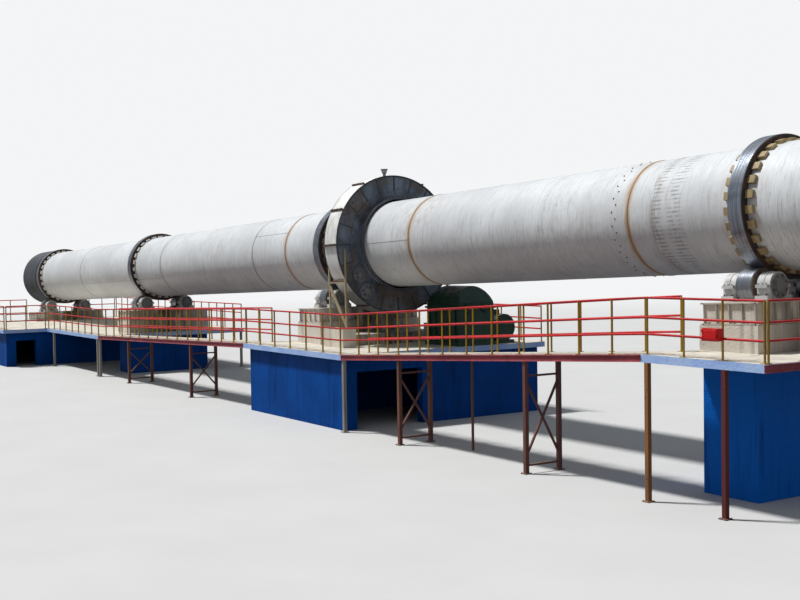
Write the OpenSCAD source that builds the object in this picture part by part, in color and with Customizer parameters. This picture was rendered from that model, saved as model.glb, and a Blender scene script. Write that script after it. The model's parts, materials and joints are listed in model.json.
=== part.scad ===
// Rotary kiln of a lime or cement works, as a 1:2 scale model.
// X runs along the kiln and rises with it to the feed end, -X is the discharge end,
// Y runs across it, Z is up. The origin lies on the ground under support 2.
// All sizes are those of the half-size model, in millimetres.

/* [Kiln shell] */
// Outside diameter of the rolled steel shell
shell_d = 1400; // [1200:10:1600]
// Thickness of the shell plate
shell_t = 16; // [10:1:30]
// Thickness of the brick lining inside the shell
lining_t = 90; // [60:5:120]
// Fall of the kiln towards the discharge end, in percent
fall_pct = 3.4; // [2:0.1:4.5]
// Height of the kiln axis above the ground at support 2
axis_h = 2765; // [2700:5:3100]
// Shell length beyond tyre 1, towards the feed
feed_overhang = 2700; // [2200:10:3200]
// Shell length beyond tyre 4, towards the discharge
discharge_overhang = 1500; // [1200:10:1800]

/* [Supports] */
// Distance along the kiln from tyre 2 up to tyre 1
span_12 = 9190; // [8800:10:9600]
// Distance along the kiln from tyre 2 down to tyre 3
span_23 = 9120; // [8700:10:9500]
// Distance along the kiln from tyre 3 down to tyre 4
span_34 = 7580; // [7200:10:8000]

/* [Tyres and rollers] */
// Outside diameter of a tyre
tyre_d = 1588; // [1540:2:1640]
// Width of a tyre along the kiln
tyre_w = 200; // [150:5:215]
// Number of retaining blocks on each side of a tyre
block_count = 28; // [20:1:32]
// Length of a retaining block along the kiln
block_l = 95; // [70:5:120]
// Width of a retaining block round the shell
block_w = 84; // [50:2:90]
// Height of a retaining block above the shell
block_h = 40; // [25:1:50]
// Diameter of a support roller
roller_d = 390; // [360:5:420]
// Width of a support roller, greater than the tyre's
roller_w = 220; // [200:5:260]
// Angle of a roller from the vertical, seen along the kiln
roller_angle = 30; // [28:0.5:33]
// Running clearance between a tyre and its rollers
tyre_gap = 0.3; // [0.2:0.05:0.5]
// Diameter of a roller shaft
shaft_d = 130; // [100:5:150]

/* [Roller bearings] */
// Outside diameter of a bearing housing
housing_d = 300; // [270:5:320]
// Length of a bearing housing along its shaft
housing_l = 170; // [160:5:190]
// Gap between a roller and its bearing housing
housing_gap = 35; // [20:1:60]
// Radial clearance of a shaft in its housing
shaft_clear = 0.3; // [0.2:0.05:0.5]
// Thickness of the end cover of a housing
cover_t = 22; // [15:1:30]
// Gap between the end of a shaft and its cover
end_gap = 10; // [6:1:15]
// Height of a housing's foot flange
foot_h = 60; // [40:5:90]
// Depth of a housing's base below its round body
seat_drop = 10; // [5:1:30]
// Width of a housing's foot across the kiln
foot_w = 380; // [330:5:420]
// Joint of grout between a housing's foot and its bed
seat_gap = 0.3; // [0.2:0.1:1]

/* [Roller beds] */
// Half length of a bed along the kiln
bed_half_l = 395; // [385:5:440]
// Distance of a bed's centre uphill of its rollers
bed_shift = 50; // [0:5:60]
// Half width of a bed across the kiln
bed_half_w = 990; // [940:10:1050]
// Height of the steel base frame on the concrete part of a bed
frame_h = 240; // [150:5:250]
// Inset of the steel base frame from the edge of its plinth
frame_inset = 30; // [10:5:40]
// Clearance of a roller in the well of its bed
well_clear = 20; // [10:1:30]
// Gap between the roller bed and the drive bed on deck 2
bed_gap = 60; // [20:5:100]
// Height of the drive bed's low middle part
drive_sill_h = 180; // [120:10:240]
// Height of the pads on it that carry the guard's frame
drive_bed_h = 300; // [260:10:360]
// Width of these pads across the kiln
pad_w = 250; // [160:10:300]

/* [Gear guard] */
// Distance of the girth gear from tyre 2, uphill
gear_at = 1128; // [1080:2:1200]
// Outside diameter of the gear guard
guard_d = 2278; // [2200:2:2360]
// Width of the gear guard along the kiln
guard_w = 376; // [340:2:420]
// Thickness of the guard's sheet steel
guard_t = 12; // [6:1:20]
// Clearance between the shell and the guard's collar
guard_clear = 34; // [20:1:60]
// Radial width of the collar round the shell
collar_w = 140; // [80:5:180]
// Length of the sleeves that stand out from the guard's faces round the shell
sleeve_l = 170; // [60:5:200]
// Width of the flanges that join the guard's halves
split_flange = 40; // [30:2:60]
// Gap between the bolted flanges of the halves
split_gap = 0.3; // [0.2:0.1:1]
// Diameter of the round covers on the guard's uphill face
port_d = 250; // [150:10:280]
// Thickness of the round covers
port_t = 30; // [10:2:50]
// Outside diameter of the girth gear
gear_d = 2040; // [1960:4:2060]
// Width of the girth gear
gear_w = 150; // [120:2:190]
// Number of teeth of the girth gear
gear_teeth = 96; // [72:4:108]
// Depth of a gear tooth
tooth_h = 34; // [24:1:40]
// Depth of the gear's rim under its teeth
rim_h = 110; // [80:5:140]
// Thickness of the girth gear's web
web_t = 30; // [20:1:50]
// Width of the square posts of the frames beside the guard
strut_w = 30; // [20:2:40]
// Width of the flat diagonal of these frames
strut_board = 46; // [30:2:60]
// Distance of these frames from the kiln's centre plane
strut_y = 1000; // [960:5:1060]

/* [Drive] */
// Gap between the drive bed and the gear reducer
reducer_gap = 100; // [40:5:150]
// Distance of the gear reducer's near side from the kiln's centre plane
reducer_y = 420; // [300:10:480]
// Length of the gear reducer along the kiln
reducer_l = 900; // [700:10:900]
// Width of the gear reducer across the kiln
reducer_w = 700; // [600:10:760]
// Height of the gear reducer's casing
reducer_h = 960; // [850:10:1000]
// Depth of the slant at the ends of the reducer's top
reducer_slant = 250; // [100:10:400]
// Thickness of the foot plates of the reducer and motor
drive_foot_t = 50; // [30:5:80]
// Overhang of the foot plate round the reducer
drive_foot_lip = 30; // [20:5:40]
// Gap between the reducer and the motor
motor_gap = 100; // [80:5:130]
// Diameter of the drive motor
motor_d = 420; // [380:10:460]
// Length of the drive motor
motor_l = 640; // [500:10:700]

/* [Piers and decks] */
// Drop from the kiln axis to the top of deck 1
drop_1 = 1537; // [1500:1:1600]
// Drop from the kiln axis to the top of deck 2
drop_2 = 1610; // [1550:1:1660]
// Drop from the kiln axis to the top of decks 3 and 4, at tyre 3
drop_3 = 1525; // [1500:1:1560]
// Thickness of a deck slab
slab_t = 85; // [60:5:100]
// Half width of a deck across the kiln
deck_half_w = 1810; // [1700:10:1900]
// Half thickness of a pier along the kiln, under the middle of its bed
pier_half_l = 370; // [340:10:400]
// Half width of a pier across the kiln
pier_half_w = 960; // [900:10:1100]
// Reach of deck 1 uphill of tyre 1
deck_1_up = 1250; // [1000:10:1500]
// Reach of deck 1 downhill of tyre 1
deck_1_down = 365; // [360:5:560]
// Reach of deck 2 uphill of tyre 2, under the drive
deck_2_up = 2560; // [2500:10:2700]
// Reach of deck 2 downhill of tyre 2
deck_2_down = 800; // [600:10:1000]
// Reach of deck 2 to the far side, past the drive
deck_2_far = 2120; // [1900:10:2300]
// Reach of deck 3 uphill of tyre 3
deck_3_up = 700; // [600:10:900]
// Reach of deck 3 downhill of tyre 3, to the wide deck at the discharge
deck_3_down = 3230; // [2800:10:3600]
// Reach of deck 4 downhill of tyre 4
deck_4_down = 700; // [600:10:900]
// Reach of deck 4 to the near side, past the line of the other decks
deck_4_near = 2900; // [2600:10:3200]
// Joint between decks 3 and 4
deck_joint = 20; // [10:1:40]
// Inset of the wide piers' walls from the deck's edge
wall_inset = 90; // [40:5:150]
// Thickness of the wide piers' walls
wall_t = 150; // [100:5:200]
// Width of the passage into the room under the drive
passage_w = 1190; // [700:10:1300]
// Width of the wall between a passage and the near side of its pier
passage_side = 240; // [200:10:350]
// Width of the passage into the room under deck 4
passage_4_w = 500; // [400:10:700]
// Height of the wall left over the passage
passage_drop = 200; // [150:10:400]

/* [Walkways] */
// Width of a walkway
walk_w = 560; // [480:10:700]
// Thickness of a walkway's plate and frame
walk_t = 75; // [40:5:90]
// Gap between a walkway and the decks that it joins
walk_gap = 0.3; // [0.2:0.1:5]
// Width of a square support post
post_w = 50; // [40:2:70]
// Width of the thin post under the inner edge of the upper walkway
thin_post_w = 26; // [20:2:40]
// Width of the bars that brace a trestle
brace_w = 24; // [16:2:36]
// Height of the bottom of a trestle's bracing above the ground
brace_z = 200; // [150:10:300]
// Drop from a walkway to the tie of a trestle
tie_drop = 230; // [150:10:300]

/* [Railings] */
// Height of the railings
rail_h = 600; // [500:5:650]
// Diameter of the rails
rail_d = 22; // [16:1:30]
// Width of the square railing posts
rail_post = 26; // [20:1:34]
// Greatest distance between railing posts
rail_pitch = 540; // [450:10:700]
// Distance of a railing's corner post from the end of its deck at a walkway
rail_gap = 60; // [50:5:120]
// Inset of the railings from the edge
rail_inset = 30; // [20:1:50]

/* [Discharge end] */
// Outside diameter of the cooling shroud
shroud_d = 1568; // [1500:4:1620]
// Length of the cooling shroud
shroud_l = 1290; // [900:10:1300]
// Thickness of the shroud's sheet
shroud_t = 10; // [6:1:20]

/* [Hidden] */

fine = 96;
fall = atan(fall_pct / 100);
shell_r = shell_d / 2;
tyre_r = tyre_d / 2;
roller_r = roller_d / 2;
bore_r = shell_r - shell_t - lining_t;

// Places of the four tyres along the kiln axis
tyre_at = [span_12, 0, -span_23, -span_23 - span_34];
feed_end = tyre_at[0] + feed_overhang;
discharge_end = tyre_at[3] - discharge_overhang;

// Field welds between the four shell sections
weld_middle = -1310;
weld_upper = 2748;
weld_feed = 7483;
section_ends = [discharge_end, weld_middle, weld_upper, weld_feed, feed_end];

// Rollers, in the plane across the kiln
roller_reach = tyre_r + tyre_gap + roller_r;
roller_y = roller_reach * sin(roller_angle);
roller_z = -roller_reach * cos(roller_angle);
housing_at = roller_w / 2 + housing_gap + housing_l / 2;
bed_top = roller_z - housing_d / 2 - seat_drop;

// Level places of the supports; decks 3 and 4 lie at one level
function level_x(s) = s * cos(fall);
function axis_z(s) = axis_h + s * sin(fall);
deck_drop = [drop_1, drop_2, drop_3, drop_3 + axis_z(tyre_at[3]) - axis_z(tyre_at[2])];
function deck_z(i) = axis_z(tyre_at[i]) - deck_drop[i];

// Height, at level place x, of a plane that lies d above the kiln axis and parallel to it
function parallel_z(x, d) = axis_h + x * tan(fall) + d / cos(fall);
function bed_x(i) = level_x(tyre_at[i]) - bed_top * sin(fall) + bed_shift;
deck_4_up = level_x(tyre_at[2] - tyre_at[3]) - deck_3_down - deck_joint;
deck_from = [deck_1_down, deck_2_down, deck_3_down, deck_4_down];
deck_to = [deck_1_up, deck_2_up, deck_3_up, deck_4_up];
deck_near = [deck_half_w, deck_half_w, deck_half_w, deck_4_near];
deck_far = [deck_half_w, deck_2_far, deck_half_w, deck_half_w];
function deck_x0(i) = level_x(tyre_at[i]) - deck_from[i];
function deck_x1(i) = level_x(tyre_at[i]) + deck_to[i];

// Gear guard
guard_r = guard_d / 2;
guard_hole_r = shell_r + guard_clear;
gear_r = gear_d / 2;
gear_x = level_x(gear_at);

// Drive, on the uphill part of deck 2
drive_bed_x0 = bed_x(1) + bed_half_l + bed_gap;
// Reach of the drive bed's pads beyond the guard's faces
pad_margin = 138;
pad_x0 = gear_x - guard_w / 2 - pad_margin;
drive_bed_x1 = gear_x + guard_w / 2 + pad_margin;
drive_bed_z = deck_z(1) + drive_bed_h;
reducer_x = drive_bed_x1 + reducer_gap + drive_foot_lip;

module on_axis(s = 0) {
    translate([0, 0, axis_h]) rotate([0, -fall, 0]) translate([s, 0, 0]) children();
}

module rod_x(r, x0, x1) {
    translate([x0, 0, 0]) rotate([0, 90, 0]) cylinder(r = r, h = x1 - x0, $fn = fine);
}

module tube_x(r_out, r_in, x0, x1) {
    difference() {
        rod_x(r_out, x0, x1);
        rod_x(r_in, x0 - 1, x1 + 1);
    }
}

// Shell

module shell_section(i) {
    on_axis() tube_x(shell_r, shell_r - shell_t, section_ends[i], section_ends[i + 1]);
}

module shell_discharge() { color("gainsboro") shell_section(0); }
module shell_middle() { color("gainsboro") shell_section(1); }
module shell_upper() { color("gainsboro") shell_section(2); }
module shell_feed() { color("gainsboro") shell_section(3); }

module brick_lining() {
    color("sandybrown") on_axis()
        tube_x(shell_r - shell_t, bore_r, discharge_end, feed_end);
}

// Tyres and their retaining blocks

// Chamfer on the edges of tyres and rollers
edge = 8;

module tyre(i) {
    color("slategray") on_axis(tyre_at[i]) rotate([0, 90, 0]) rotate_extrude($fn = fine)
        polygon([
            [shell_r, -tyre_w / 2], [tyre_r - edge, -tyre_w / 2], [tyre_r, edge - tyre_w / 2],
            [tyre_r, tyre_w / 2 - edge], [tyre_r - edge, tyre_w / 2], [shell_r, tyre_w / 2]
        ]);
}

module tyre_1() { tyre(0); }
module tyre_2() { tyre(1); }
module tyre_3() { tyre(2); }
module tyre_4() { tyre(3); }

module block_ring(s) {
    block_angle = 2 * asin(block_w / 2 / shell_r);
    on_axis(s) rotate([0, 90, 0])
        for (k = [0 : block_count - 1])
            rotate([0, 0, 360 * k / block_count]) rotate_extrude(angle = block_angle, $fn = fine)
                translate([shell_r, 0]) square([block_h, block_l]);
}

module tyre_blocks() {
    color("tan") for (i = [0 : 3]) {
        block_ring(tyre_at[i] + tyre_w / 2);
        block_ring(tyre_at[i] - tyre_w / 2 - block_l);
    }
}

// Girth gear: a toothed rim on a web that is bolted round the shell

module girth_gear() {
    root_r = gear_r - tooth_h;
    step = 360 / gear_teeth;
    tooth_points = [
        for (k = [0 : gear_teeth - 1], p = [[root_r, -0.30], [gear_r, -0.16], [gear_r, 0.16], [root_r, 0.30]])
            p[0] * [cos((k + p[1]) * step), sin((k + p[1]) * step)]
    ];
    color("dimgray") on_axis(gear_at) rotate([0, 90, 0]) {
        difference() {
            linear_extrude(gear_w, center = true) polygon(tooth_points);
            cylinder(r = root_r - rim_h, h = gear_w + 2, center = true, $fn = fine);
        }
        difference() {
            cylinder(r = root_r - rim_h + web_t / 2, h = web_t, center = true, $fn = fine);
            cylinder(r = shell_r, h = web_t + 2, center = true, $fn = fine);
        }
    }
}

// Cooling shroud round the discharge end, held off the shell by two rings

module cooling_shroud() {
    shroud_r = shroud_d / 2;
    ring_w = 60;
    color("dimgray") on_axis(discharge_end) {
        tube_x(shroud_r, shroud_r - shroud_t, 0, shroud_l);
        for (x = [0, shroud_l - ring_w])
            tube_x(shroud_r - shroud_t + 1, shell_r, x, x + ring_w);
    }
}

// Support rollers with their shafts

module roller(i, side) {
    shaft_half = housing_at + housing_l / 2 - cover_t - end_gap;
    color("lightslategray") on_axis(tyre_at[i]) translate([0, side * roller_y, roller_z])
        rotate([0, 90, 0]) rotate_extrude($fn = fine) polygon([
            [0, -shaft_half], [shaft_d / 2, -shaft_half], [shaft_d / 2, -roller_w / 2],
            [roller_r - edge, -roller_w / 2], [roller_r, edge - roller_w / 2],
            [roller_r, roller_w / 2 - edge], [roller_r - edge, roller_w / 2],
            [shaft_d / 2, roller_w / 2], [shaft_d / 2, shaft_half], [0, shaft_half]
        ]);
}

module roller_1_near() { roller(0, -1); }
module roller_1_far() { roller(0, 1); }
module roller_2_near() { roller(1, -1); }
module roller_2_far() { roller(1, 1); }
module roller_3_near() { roller(2, -1); }
module roller_3_far() { roller(2, 1); }
module roller_4_near() { roller(3, -1); }
module roller_4_far() { roller(3, 1); }

// Bearing housings: a round body on a foot, closed outwards by a cover

module housing(side_x) {
    half = housing_l / 2;
    difference() {
        union() {
            rod_x(housing_d / 2, -half, half);
            translate([-half, -foot_w / 2, bed_top - roller_z])
                cube([housing_l, foot_w, foot_h]);
            translate([-half, -housing_d / 2, bed_top - roller_z])
                cube([housing_l, housing_d, roller_z - bed_top]);
        }
        rod_x(shaft_d / 2 + shaft_clear, side_x > 0 ? -half - 1 : cover_t - half,
              side_x > 0 ? half - cover_t : half + 1);
    }
}

module bearings(i) {
    color("whitesmoke") on_axis(tyre_at[i])
        for (side = [-1, 1], side_x = [-1, 1])
            translate([side_x * housing_at, side * roller_y, roller_z]) housing(side_x);
}

module bearings_1() { bearings(0); }
module bearings_2() { bearings(1); }
module bearings_3() { bearings(2); }
module bearings_4() { bearings(3); }

// Roller beds: a concrete plinth with a steel base frame, its top parallel to the kiln

module bed_block(i, half_l, half_w, top, bottom_z) {
    x0 = bed_x(i) - half_l;
    x1 = bed_x(i) + half_l;
    rotate([90, 0, 0]) linear_extrude(2 * half_w, center = true)
        polygon([[x0, bottom_z], [x1, bottom_z], [x1, parallel_z(x1, top)], [x0, parallel_z(x0, top)]]);
}

module roller_bed(i) {
    plinth_top = max(bed_top - frame_h, frame_inset - deck_drop[i]);
    well_half = roller_w / 2 + well_clear;
    color("antiquewhite") difference() {
        union() {
            bed_block(i, bed_half_l, bed_half_w, plinth_top, deck_z(i));
            bed_block(i, bed_half_l - frame_inset, bed_half_w - frame_inset, bed_top - seat_gap, deck_z(i));
        }
        on_axis(tyre_at[i]) for (side = [-1, 1])
            translate([0, side * roller_y, roller_z]) rod_x(roller_r + well_clear, -well_half, well_half);
    }
}

module roller_bed_1() { roller_bed(0); }
module roller_bed_2() { roller_bed(1); }
module roller_bed_3() { roller_bed(2); }
module roller_bed_4() { roller_bed(3); }

module drive_bed() {
    color("antiquewhite") translate([0, 0, deck_z(1)]) {
        translate([drive_bed_x0, -strut_y, 0])
            cube([gear_x - drive_bed_x0, 2 * strut_y, drive_sill_h]);
        for (side = [-1, 1]) translate([pad_x0, side * strut_y - pad_w / 2, 0])
            cube([drive_bed_x1 - pad_x0, pad_w, drive_bed_h]);
    }
}

// Piers

module pier(i) {
    color("royalblue") translate([bed_x(i) - pier_half_l, -pier_half_w, 0])
        cube([2 * pier_half_l, 2 * pier_half_w, deck_z(i) - slab_t]);
}

module pier_1() { pier(0); }
module pier_3() { pier(2); }

// A wide pier under tyre i: solid under the rollers, with a room uphill of it
module room_pier(i, opening_w) {
    near = deck_near[i] - wall_inset;
    far = deck_far[i] - wall_inset;
    x0 = deck_x0(i) + wall_inset;
    x1 = deck_x1(i) - wall_inset;
    room_x0 = level_x(tyre_at[i]) + pier_half_l + wall_t;
    h = deck_z(i) - slab_t;
    color("royalblue") difference() {
        translate([x0, -near, 0]) cube([x1 - x0, near + far, h]);
        translate([room_x0, wall_t - near, -1])
            cube([x1 - wall_t - room_x0, near + far - 2 * wall_t, h + 2]);
        translate([x1 - wall_t - 1, passage_side - near, -1])
            cube([wall_t + 2, opening_w, h - passage_drop + 1]);
    }
}

module pier_2() { room_pier(1, passage_w); }
module pier_4() { room_pier(3, passage_4_w); }

// Decks

module deck(i) {
    color("lightsteelblue") translate([deck_x0(i), -deck_near[i], deck_z(i) - slab_t])
        cube([deck_x1(i) - deck_x0(i), deck_near[i] + deck_far[i], slab_t]);
}

module deck_1() { deck(0); }
module deck_2() { deck(1); }
module deck_3() { deck(2); }
module deck_4() { deck(3); }

// Walkways between the decks, sloping from one to the next

module ramp(x0, z0, x1, z1, y0, y1, t) {
    translate([0, y1, 0]) rotate([90, 0, 0]) linear_extrude(y1 - y0)
        polygon([[x0, z0 - t], [x1, z1 - t], [x1, z1], [x0, z0]]);
}

// The walkway downhill of deck i: [x0, z0, x1, z1]
function walk(i) = [deck_x1(i + 1) + walk_gap, deck_z(i + 1), deck_x0(i) - walk_gap, deck_z(i)];
function walk_slope(i) = (walk(i)[3] - walk(i)[1]) / (walk(i)[2] - walk(i)[0]);
function walk_z(i, x) = walk(i)[1] + (x - walk(i)[0]) * walk_slope(i);

module walkway(i) {
    w = walk(i);
    color("firebrick") ramp(w[0], w[1], w[2], w[3], -deck_half_w, walk_w - deck_half_w, walk_t);
}

module walkway_12() { walkway(0); }
module walkway_23() { walkway(1); }

module support_post(x, y, top) {
    translate([x - post_w / 2, y, 0]) cube([post_w, post_w, top]);
}

module brace(x, y0, z0, y1, z1) {
    translate([x, y0, z0]) rotate([atan2(z1 - z0, y1 - y0), 0, 0])
        translate([-brace_w / 2, 0, -brace_w / 2]) cube([brace_w, norm([y1 - y0, z1 - z0]), brace_w]);
}

// Two posts under a walkway, with ties and crossed bars between them
module trestle(x, y, top) {
    inner_y = y + walk_w - post_w;
    y0 = y + post_w / 2;
    y1 = inner_y + post_w / 2;
    support_post(x, y, top);
    support_post(x, inner_y, top);
    brace(x, y0, brace_z, y1, top - tie_drop);
    brace(x, y0, top - tie_drop, y1, brace_z);
    for (z = [brace_z / 2, top - tie_drop + 2 * brace_w])
        brace(x, y0, z, y1, z);
}

module walkway_posts() {
    color("sienna") {
        for (i = [0, 1]) {
            w = walk(i);
            // A post stops below the lower edge of the sloping frame above it
            post_drop = walk_t + walk_slope(i) * post_w / 2;
            for (f = trestle_at) {
                x = w[0] + f * (w[2] - w[0]);
                trestle(x, -deck_half_w, walk_z(i, x) - post_drop);
            }
            x = w[0] + post_w;
            support_post(x, -deck_half_w, walk_z(i, x) - post_drop);
        }
        x_thin = walk(0)[0] + thin_post_at * (walk(0)[2] - walk(0)[0]);
        translate([x_thin, walk_w - deck_half_w - thin_post_w, 0])
            cube([thin_post_w, thin_post_w, walk_z(0, x_thin) - walk_t]);
        for (y = [-deck_half_w, deck_half_w - post_w]) {
            for (x = [deck_x0(0) + 1.5 * post_w, deck_x1(0) - deck_post_in])
                support_post(x, y, deck_z(0) - slab_t);
            for (x = [deck_x0(2) + deck_post_in, deck_x1(2) - 2 * post_w])
                support_post(x, y, deck_z(2) - slab_t);
        }
    }
}
// Places of the trestles and of the thin post, as shares of a walkway's length
trestle_at = [0.25, 0.69];
thin_post_at = 0.405;
// Distance of a deck's post from the open end of the deck
deck_post_in = 500;

// Railings: posts with three rails between them

module rail_post_at(x, y, foot, top) {
    translate([x - rail_post / 2, y - rail_post / 2, foot]) cube([rail_post, rail_post, top - foot]);
}

// Three rails over the line from p to q
module rails(p, q) {
    d = q - p;
    for (h = rail_heights)
        translate(p + [0, 0, h * rail_h - rail_d / 2]) rotate([0, -asin(d[2] / norm(d)), atan2(d[1], d[0])])
            rotate([0, 90, 0]) cylinder(d = rail_d, h = norm(d), $fn = 16);
}
// Heights of the three rails, as shares of the railing's height
rail_heights = [0.355, 0.645, 1];

// A level run from p to q, with a post at each end
module level_run(p, q) {
    n = ceil(norm(q - p) / rail_pitch);
    for (k = [0 : n]) {
        a = p + (q - p) * k / n;
        rail_post_at(a[0], a[1], a[2], a[2] + rail_h);
    }
    rails(p, q);
}

// Ends of the railing along deck i: inset from open corners, further in where a walkway joins
rail_x0 = [deck_x0(0) + rail_gap, deck_x0(1) + rail_gap, deck_x0(2) + rail_inset, deck_x0(3) + rail_inset];
rail_x1 = [deck_x1(0) - rail_inset, deck_x1(1) - rail_gap, deck_x1(2) - rail_gap, deck_x1(3) - rail_inset];

module deck_run(i, y) {
    level_run([rail_x0[i], y, deck_z(i)], [rail_x1[i], y, deck_z(i)]);
}

// A run over the walkway downhill of deck i, from the corner post of one deck to that of the next
module walk_run(i, y) {
    p = [rail_x1[i + 1], y, deck_z(i + 1)];
    q = [rail_x0[i], y, deck_z(i)];
    n = ceil((q[0] - p[0]) / rail_pitch);
    for (k = [1 : n - 1]) {
        a = p + (q - p) * k / n;
        rail_post_at(a[0], y, walk_z(i, a[0]) + walk_slope(i) * rail_post / 2, a[2] + rail_h);
    }
    rails(p, q);
}

module railing_near() {
    color("goldenrod") {
        for (i = [0 : 3]) deck_run(i, rail_inset - deck_near[i]);
        for (i = [0, 1]) walk_run(i, rail_inset - deck_half_w);
    }
}

// The inner railing of a walkway, with end posts of its own on the decks
module railing_inner() {
    y = walk_w - deck_half_w - rail_inset;
    color("goldenrod") for (i = [0, 1]) {
        walk_run(i, y);
        rail_post_at(rail_x1[i + 1], y, deck_z(i + 1), deck_z(i + 1) + rail_h);
        rail_post_at(rail_x0[i], y, deck_z(i), deck_z(i) + rail_h);
    }
}

module railing_far() {
    color("goldenrod") for (i = [0 : 3]) deck_run(i, deck_far[i] - rail_inset);
}

// A run across a deck from y0 to y1
module cross_run(i, x, y0, y1) {
    level_run([x, y0, deck_z(i)], [x, y1, deck_z(i)]);
}

// Railings across the open ends of decks 1 and 4, between the corner posts of the long ones;
// on deck 4 they stop on both sides of the shroud
module railing_ends() {
    from_edge = rail_inset + rail_post + rail_joint;
    beside_shroud = shroud_d / 2 + shroud_room;
    color("goldenrod") {
        cross_run(0, rail_x1[0], from_edge - deck_near[0], deck_far[0] - from_edge);
        cross_run(3, rail_x0[3], from_edge - deck_near[3], -beside_shroud);
        cross_run(3, rail_x0[3], beside_shroud, deck_far[3] - from_edge);
        cross_run(3, rail_x1[3], from_edge - deck_near[3], -deck_near[2] - rail_inset);
    }
}
// Clearance between the shroud and the railings beside it
shroud_room = 150;
// Gap between the posts of railings that meet at a corner
rail_joint = 25;

// Gear guard: a sheet steel ring in two halves, bolted at flanges

module guard_ring() {
    half = guard_w / 2;
    difference() {
        rod_x(guard_r, -half, half);
        rod_x(guard_r - guard_t, guard_t - half, half - guard_t);
        rod_x(guard_hole_r, -half - 1, half + 1);
    }
    for (side = [-1, 1]) {
        x = side * (half + guard_t / 2);
        tube_x(guard_hole_r + collar_w, guard_hole_r, x - guard_t / 2 - 1, x + guard_t / 2);
        x_sleeve = side * (half + sleeve_l / 2);
        tube_x(guard_hole_r + guard_t, guard_hole_r, x_sleeve - sleeve_l / 2, x_sleeve + sleeve_l / 2);
    }
}

module half_space(up) {
    big = 2 * guard_d;
    translate([-big / 2, -big / 2, up ? split_gap / 2 : -big - split_gap / 2]) cube(big);
}

// Flanges on both sides of the guard
module split_flanges(z) {
    for (y = [-guard_r - split_flange, guard_r - guard_t])
        translate([-guard_w / 2, y, z]) cube([guard_w, split_flange + guard_t, guard_t]);
}

module gear_guard_upper() {
    color("lightgray") on_axis(gear_at) {
        intersection() {
            guard_ring();
            half_space(true);
        }
        split_flanges(split_gap / 2);
    }
}

module gear_guard_lower() {
    color("lightgray") on_axis(gear_at) {
        intersection() {
            guard_ring();
            half_space(false);
        }
        split_flanges(-guard_t - split_gap / 2);
        for (p = port_at)
            translate([0, p[0], p[1]]) rod_x(port_d / 2, guard_w / 2 - 1, guard_w / 2 + port_t);
    }
}
// Places of the round covers on the uphill face, across and up from the kiln axis
port_at = [[-720, -480], [-600, -760]];

// Frames that carry the guard, one on each side of the kiln: two posts with a rung, a flat diagonal, and a
// bracket that holds the guard's downhill face
module guard_frame() {
    face = guard_w / 2 + strut_gap;
    x0 = -guard_w / 2 - strut_down;
    x1 = face + strut_w / 2;
    foot_z = drive_bed_z - axis_z(gear_at);
    bar = 0.7 * strut_w;
    board = strut_board * norm([rung_z - foot_z, x1 - x0]) / (x1 - x0);
    color("tan") intersection() {
        on_axis(gear_at) for (side = [-1, 1]) translate([0, side * strut_y, 0]) {
            for (x = [x0, x1]) translate([x - strut_w / 2, -strut_w / 2, foot_z - strut_w])
                cube([strut_w, strut_w, strut_w - foot_z + strut_top]);
            translate([x0, -bar / 2, rung_z]) cube([x1 - x0, bar, bar]);
            translate([x0, -bar / 2, bracket_z]) cube([-face - x0, bar, bar]);
            rotate([90, 0, 0]) translate([0, 0, -bar / 2]) linear_extrude(bar)
                polygon([[x0, rung_z], [x0, rung_z - board], [x1, foot_z - bar], [x1, foot_z - bar + board]]);
        }
        translate([gear_x - guard_d, -guard_d, drive_bed_z]) cube(2 * guard_d);
    }
}
// Heights of the frame's rung, bracket and top above the kiln axis
rung_z = -615;
bracket_z = -420;
strut_top = -70;
// Distance of the downhill posts' centres from the guard's downhill face
strut_down = 120;
// Gap between the uphill posts or the brackets and the guard's faces
strut_gap = 0.3;

module guard_vent() {
    color("gray") on_axis(gear_at) translate([-vent_shift, 0, guard_r]) {
        cylinder(d = 50, h = vent_neck, $fn = 32);
        translate([0, 0, vent_neck]) cylinder(d1 = 70, d2 = 115, h = vent_neck, $fn = 32);
    }
}
// Distance of the vent from the middle of the guard, downhill, and the height of its neck and of its cup
vent_shift = 100;
vent_neck = 66;

// Drive on the uphill end of deck 2

module gear_reducer() {
    color("darkgreen") translate([reducer_x, reducer_y, deck_z(1)]) {
        translate([-drive_foot_lip, -drive_foot_lip, 0])
            cube([reducer_l + 2 * drive_foot_lip, reducer_w + 2 * drive_foot_lip, drive_foot_t]);
        intersection() {
            union() {
                cube([reducer_l, reducer_w, reducer_h - reducer_w / 2]);
                translate([0, reducer_w / 2, reducer_h - reducer_w / 2])
                    rod_x(reducer_w / 2, 0, reducer_l);
            }
            translate([0, reducer_w + 1, 0]) rotate([90, 0, 0]) linear_extrude(reducer_w + 2) polygon([
                [0, 0], [reducer_l, 0], [reducer_l, reducer_h - reducer_slant],
                [reducer_l - reducer_slant / 2, reducer_h + 1], [reducer_slant / 2, reducer_h + 1],
                [0, reducer_h - reducer_slant]
            ]);
        }
    }
}

module drive_motor() {
    motor_x = reducer_x + (reducer_l - motor_l) / 2;
    motor_y = reducer_y + reducer_w + motor_gap + motor_d / 2;
    color("darkgreen") translate([motor_x, motor_y, deck_z(1)]) {
        translate([0, -motor_d / 2, 0]) cube([motor_l, motor_d, drive_foot_t]);
        translate([0, -motor_d / 4, 0]) cube([motor_l, motor_d / 2, motor_d / 2]);
        translate([0, 0, drive_foot_t + motor_d / 2]) rod_x(motor_d / 2, 0, motor_l);
    }
}

// Small box hung on the railing of deck 1

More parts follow.
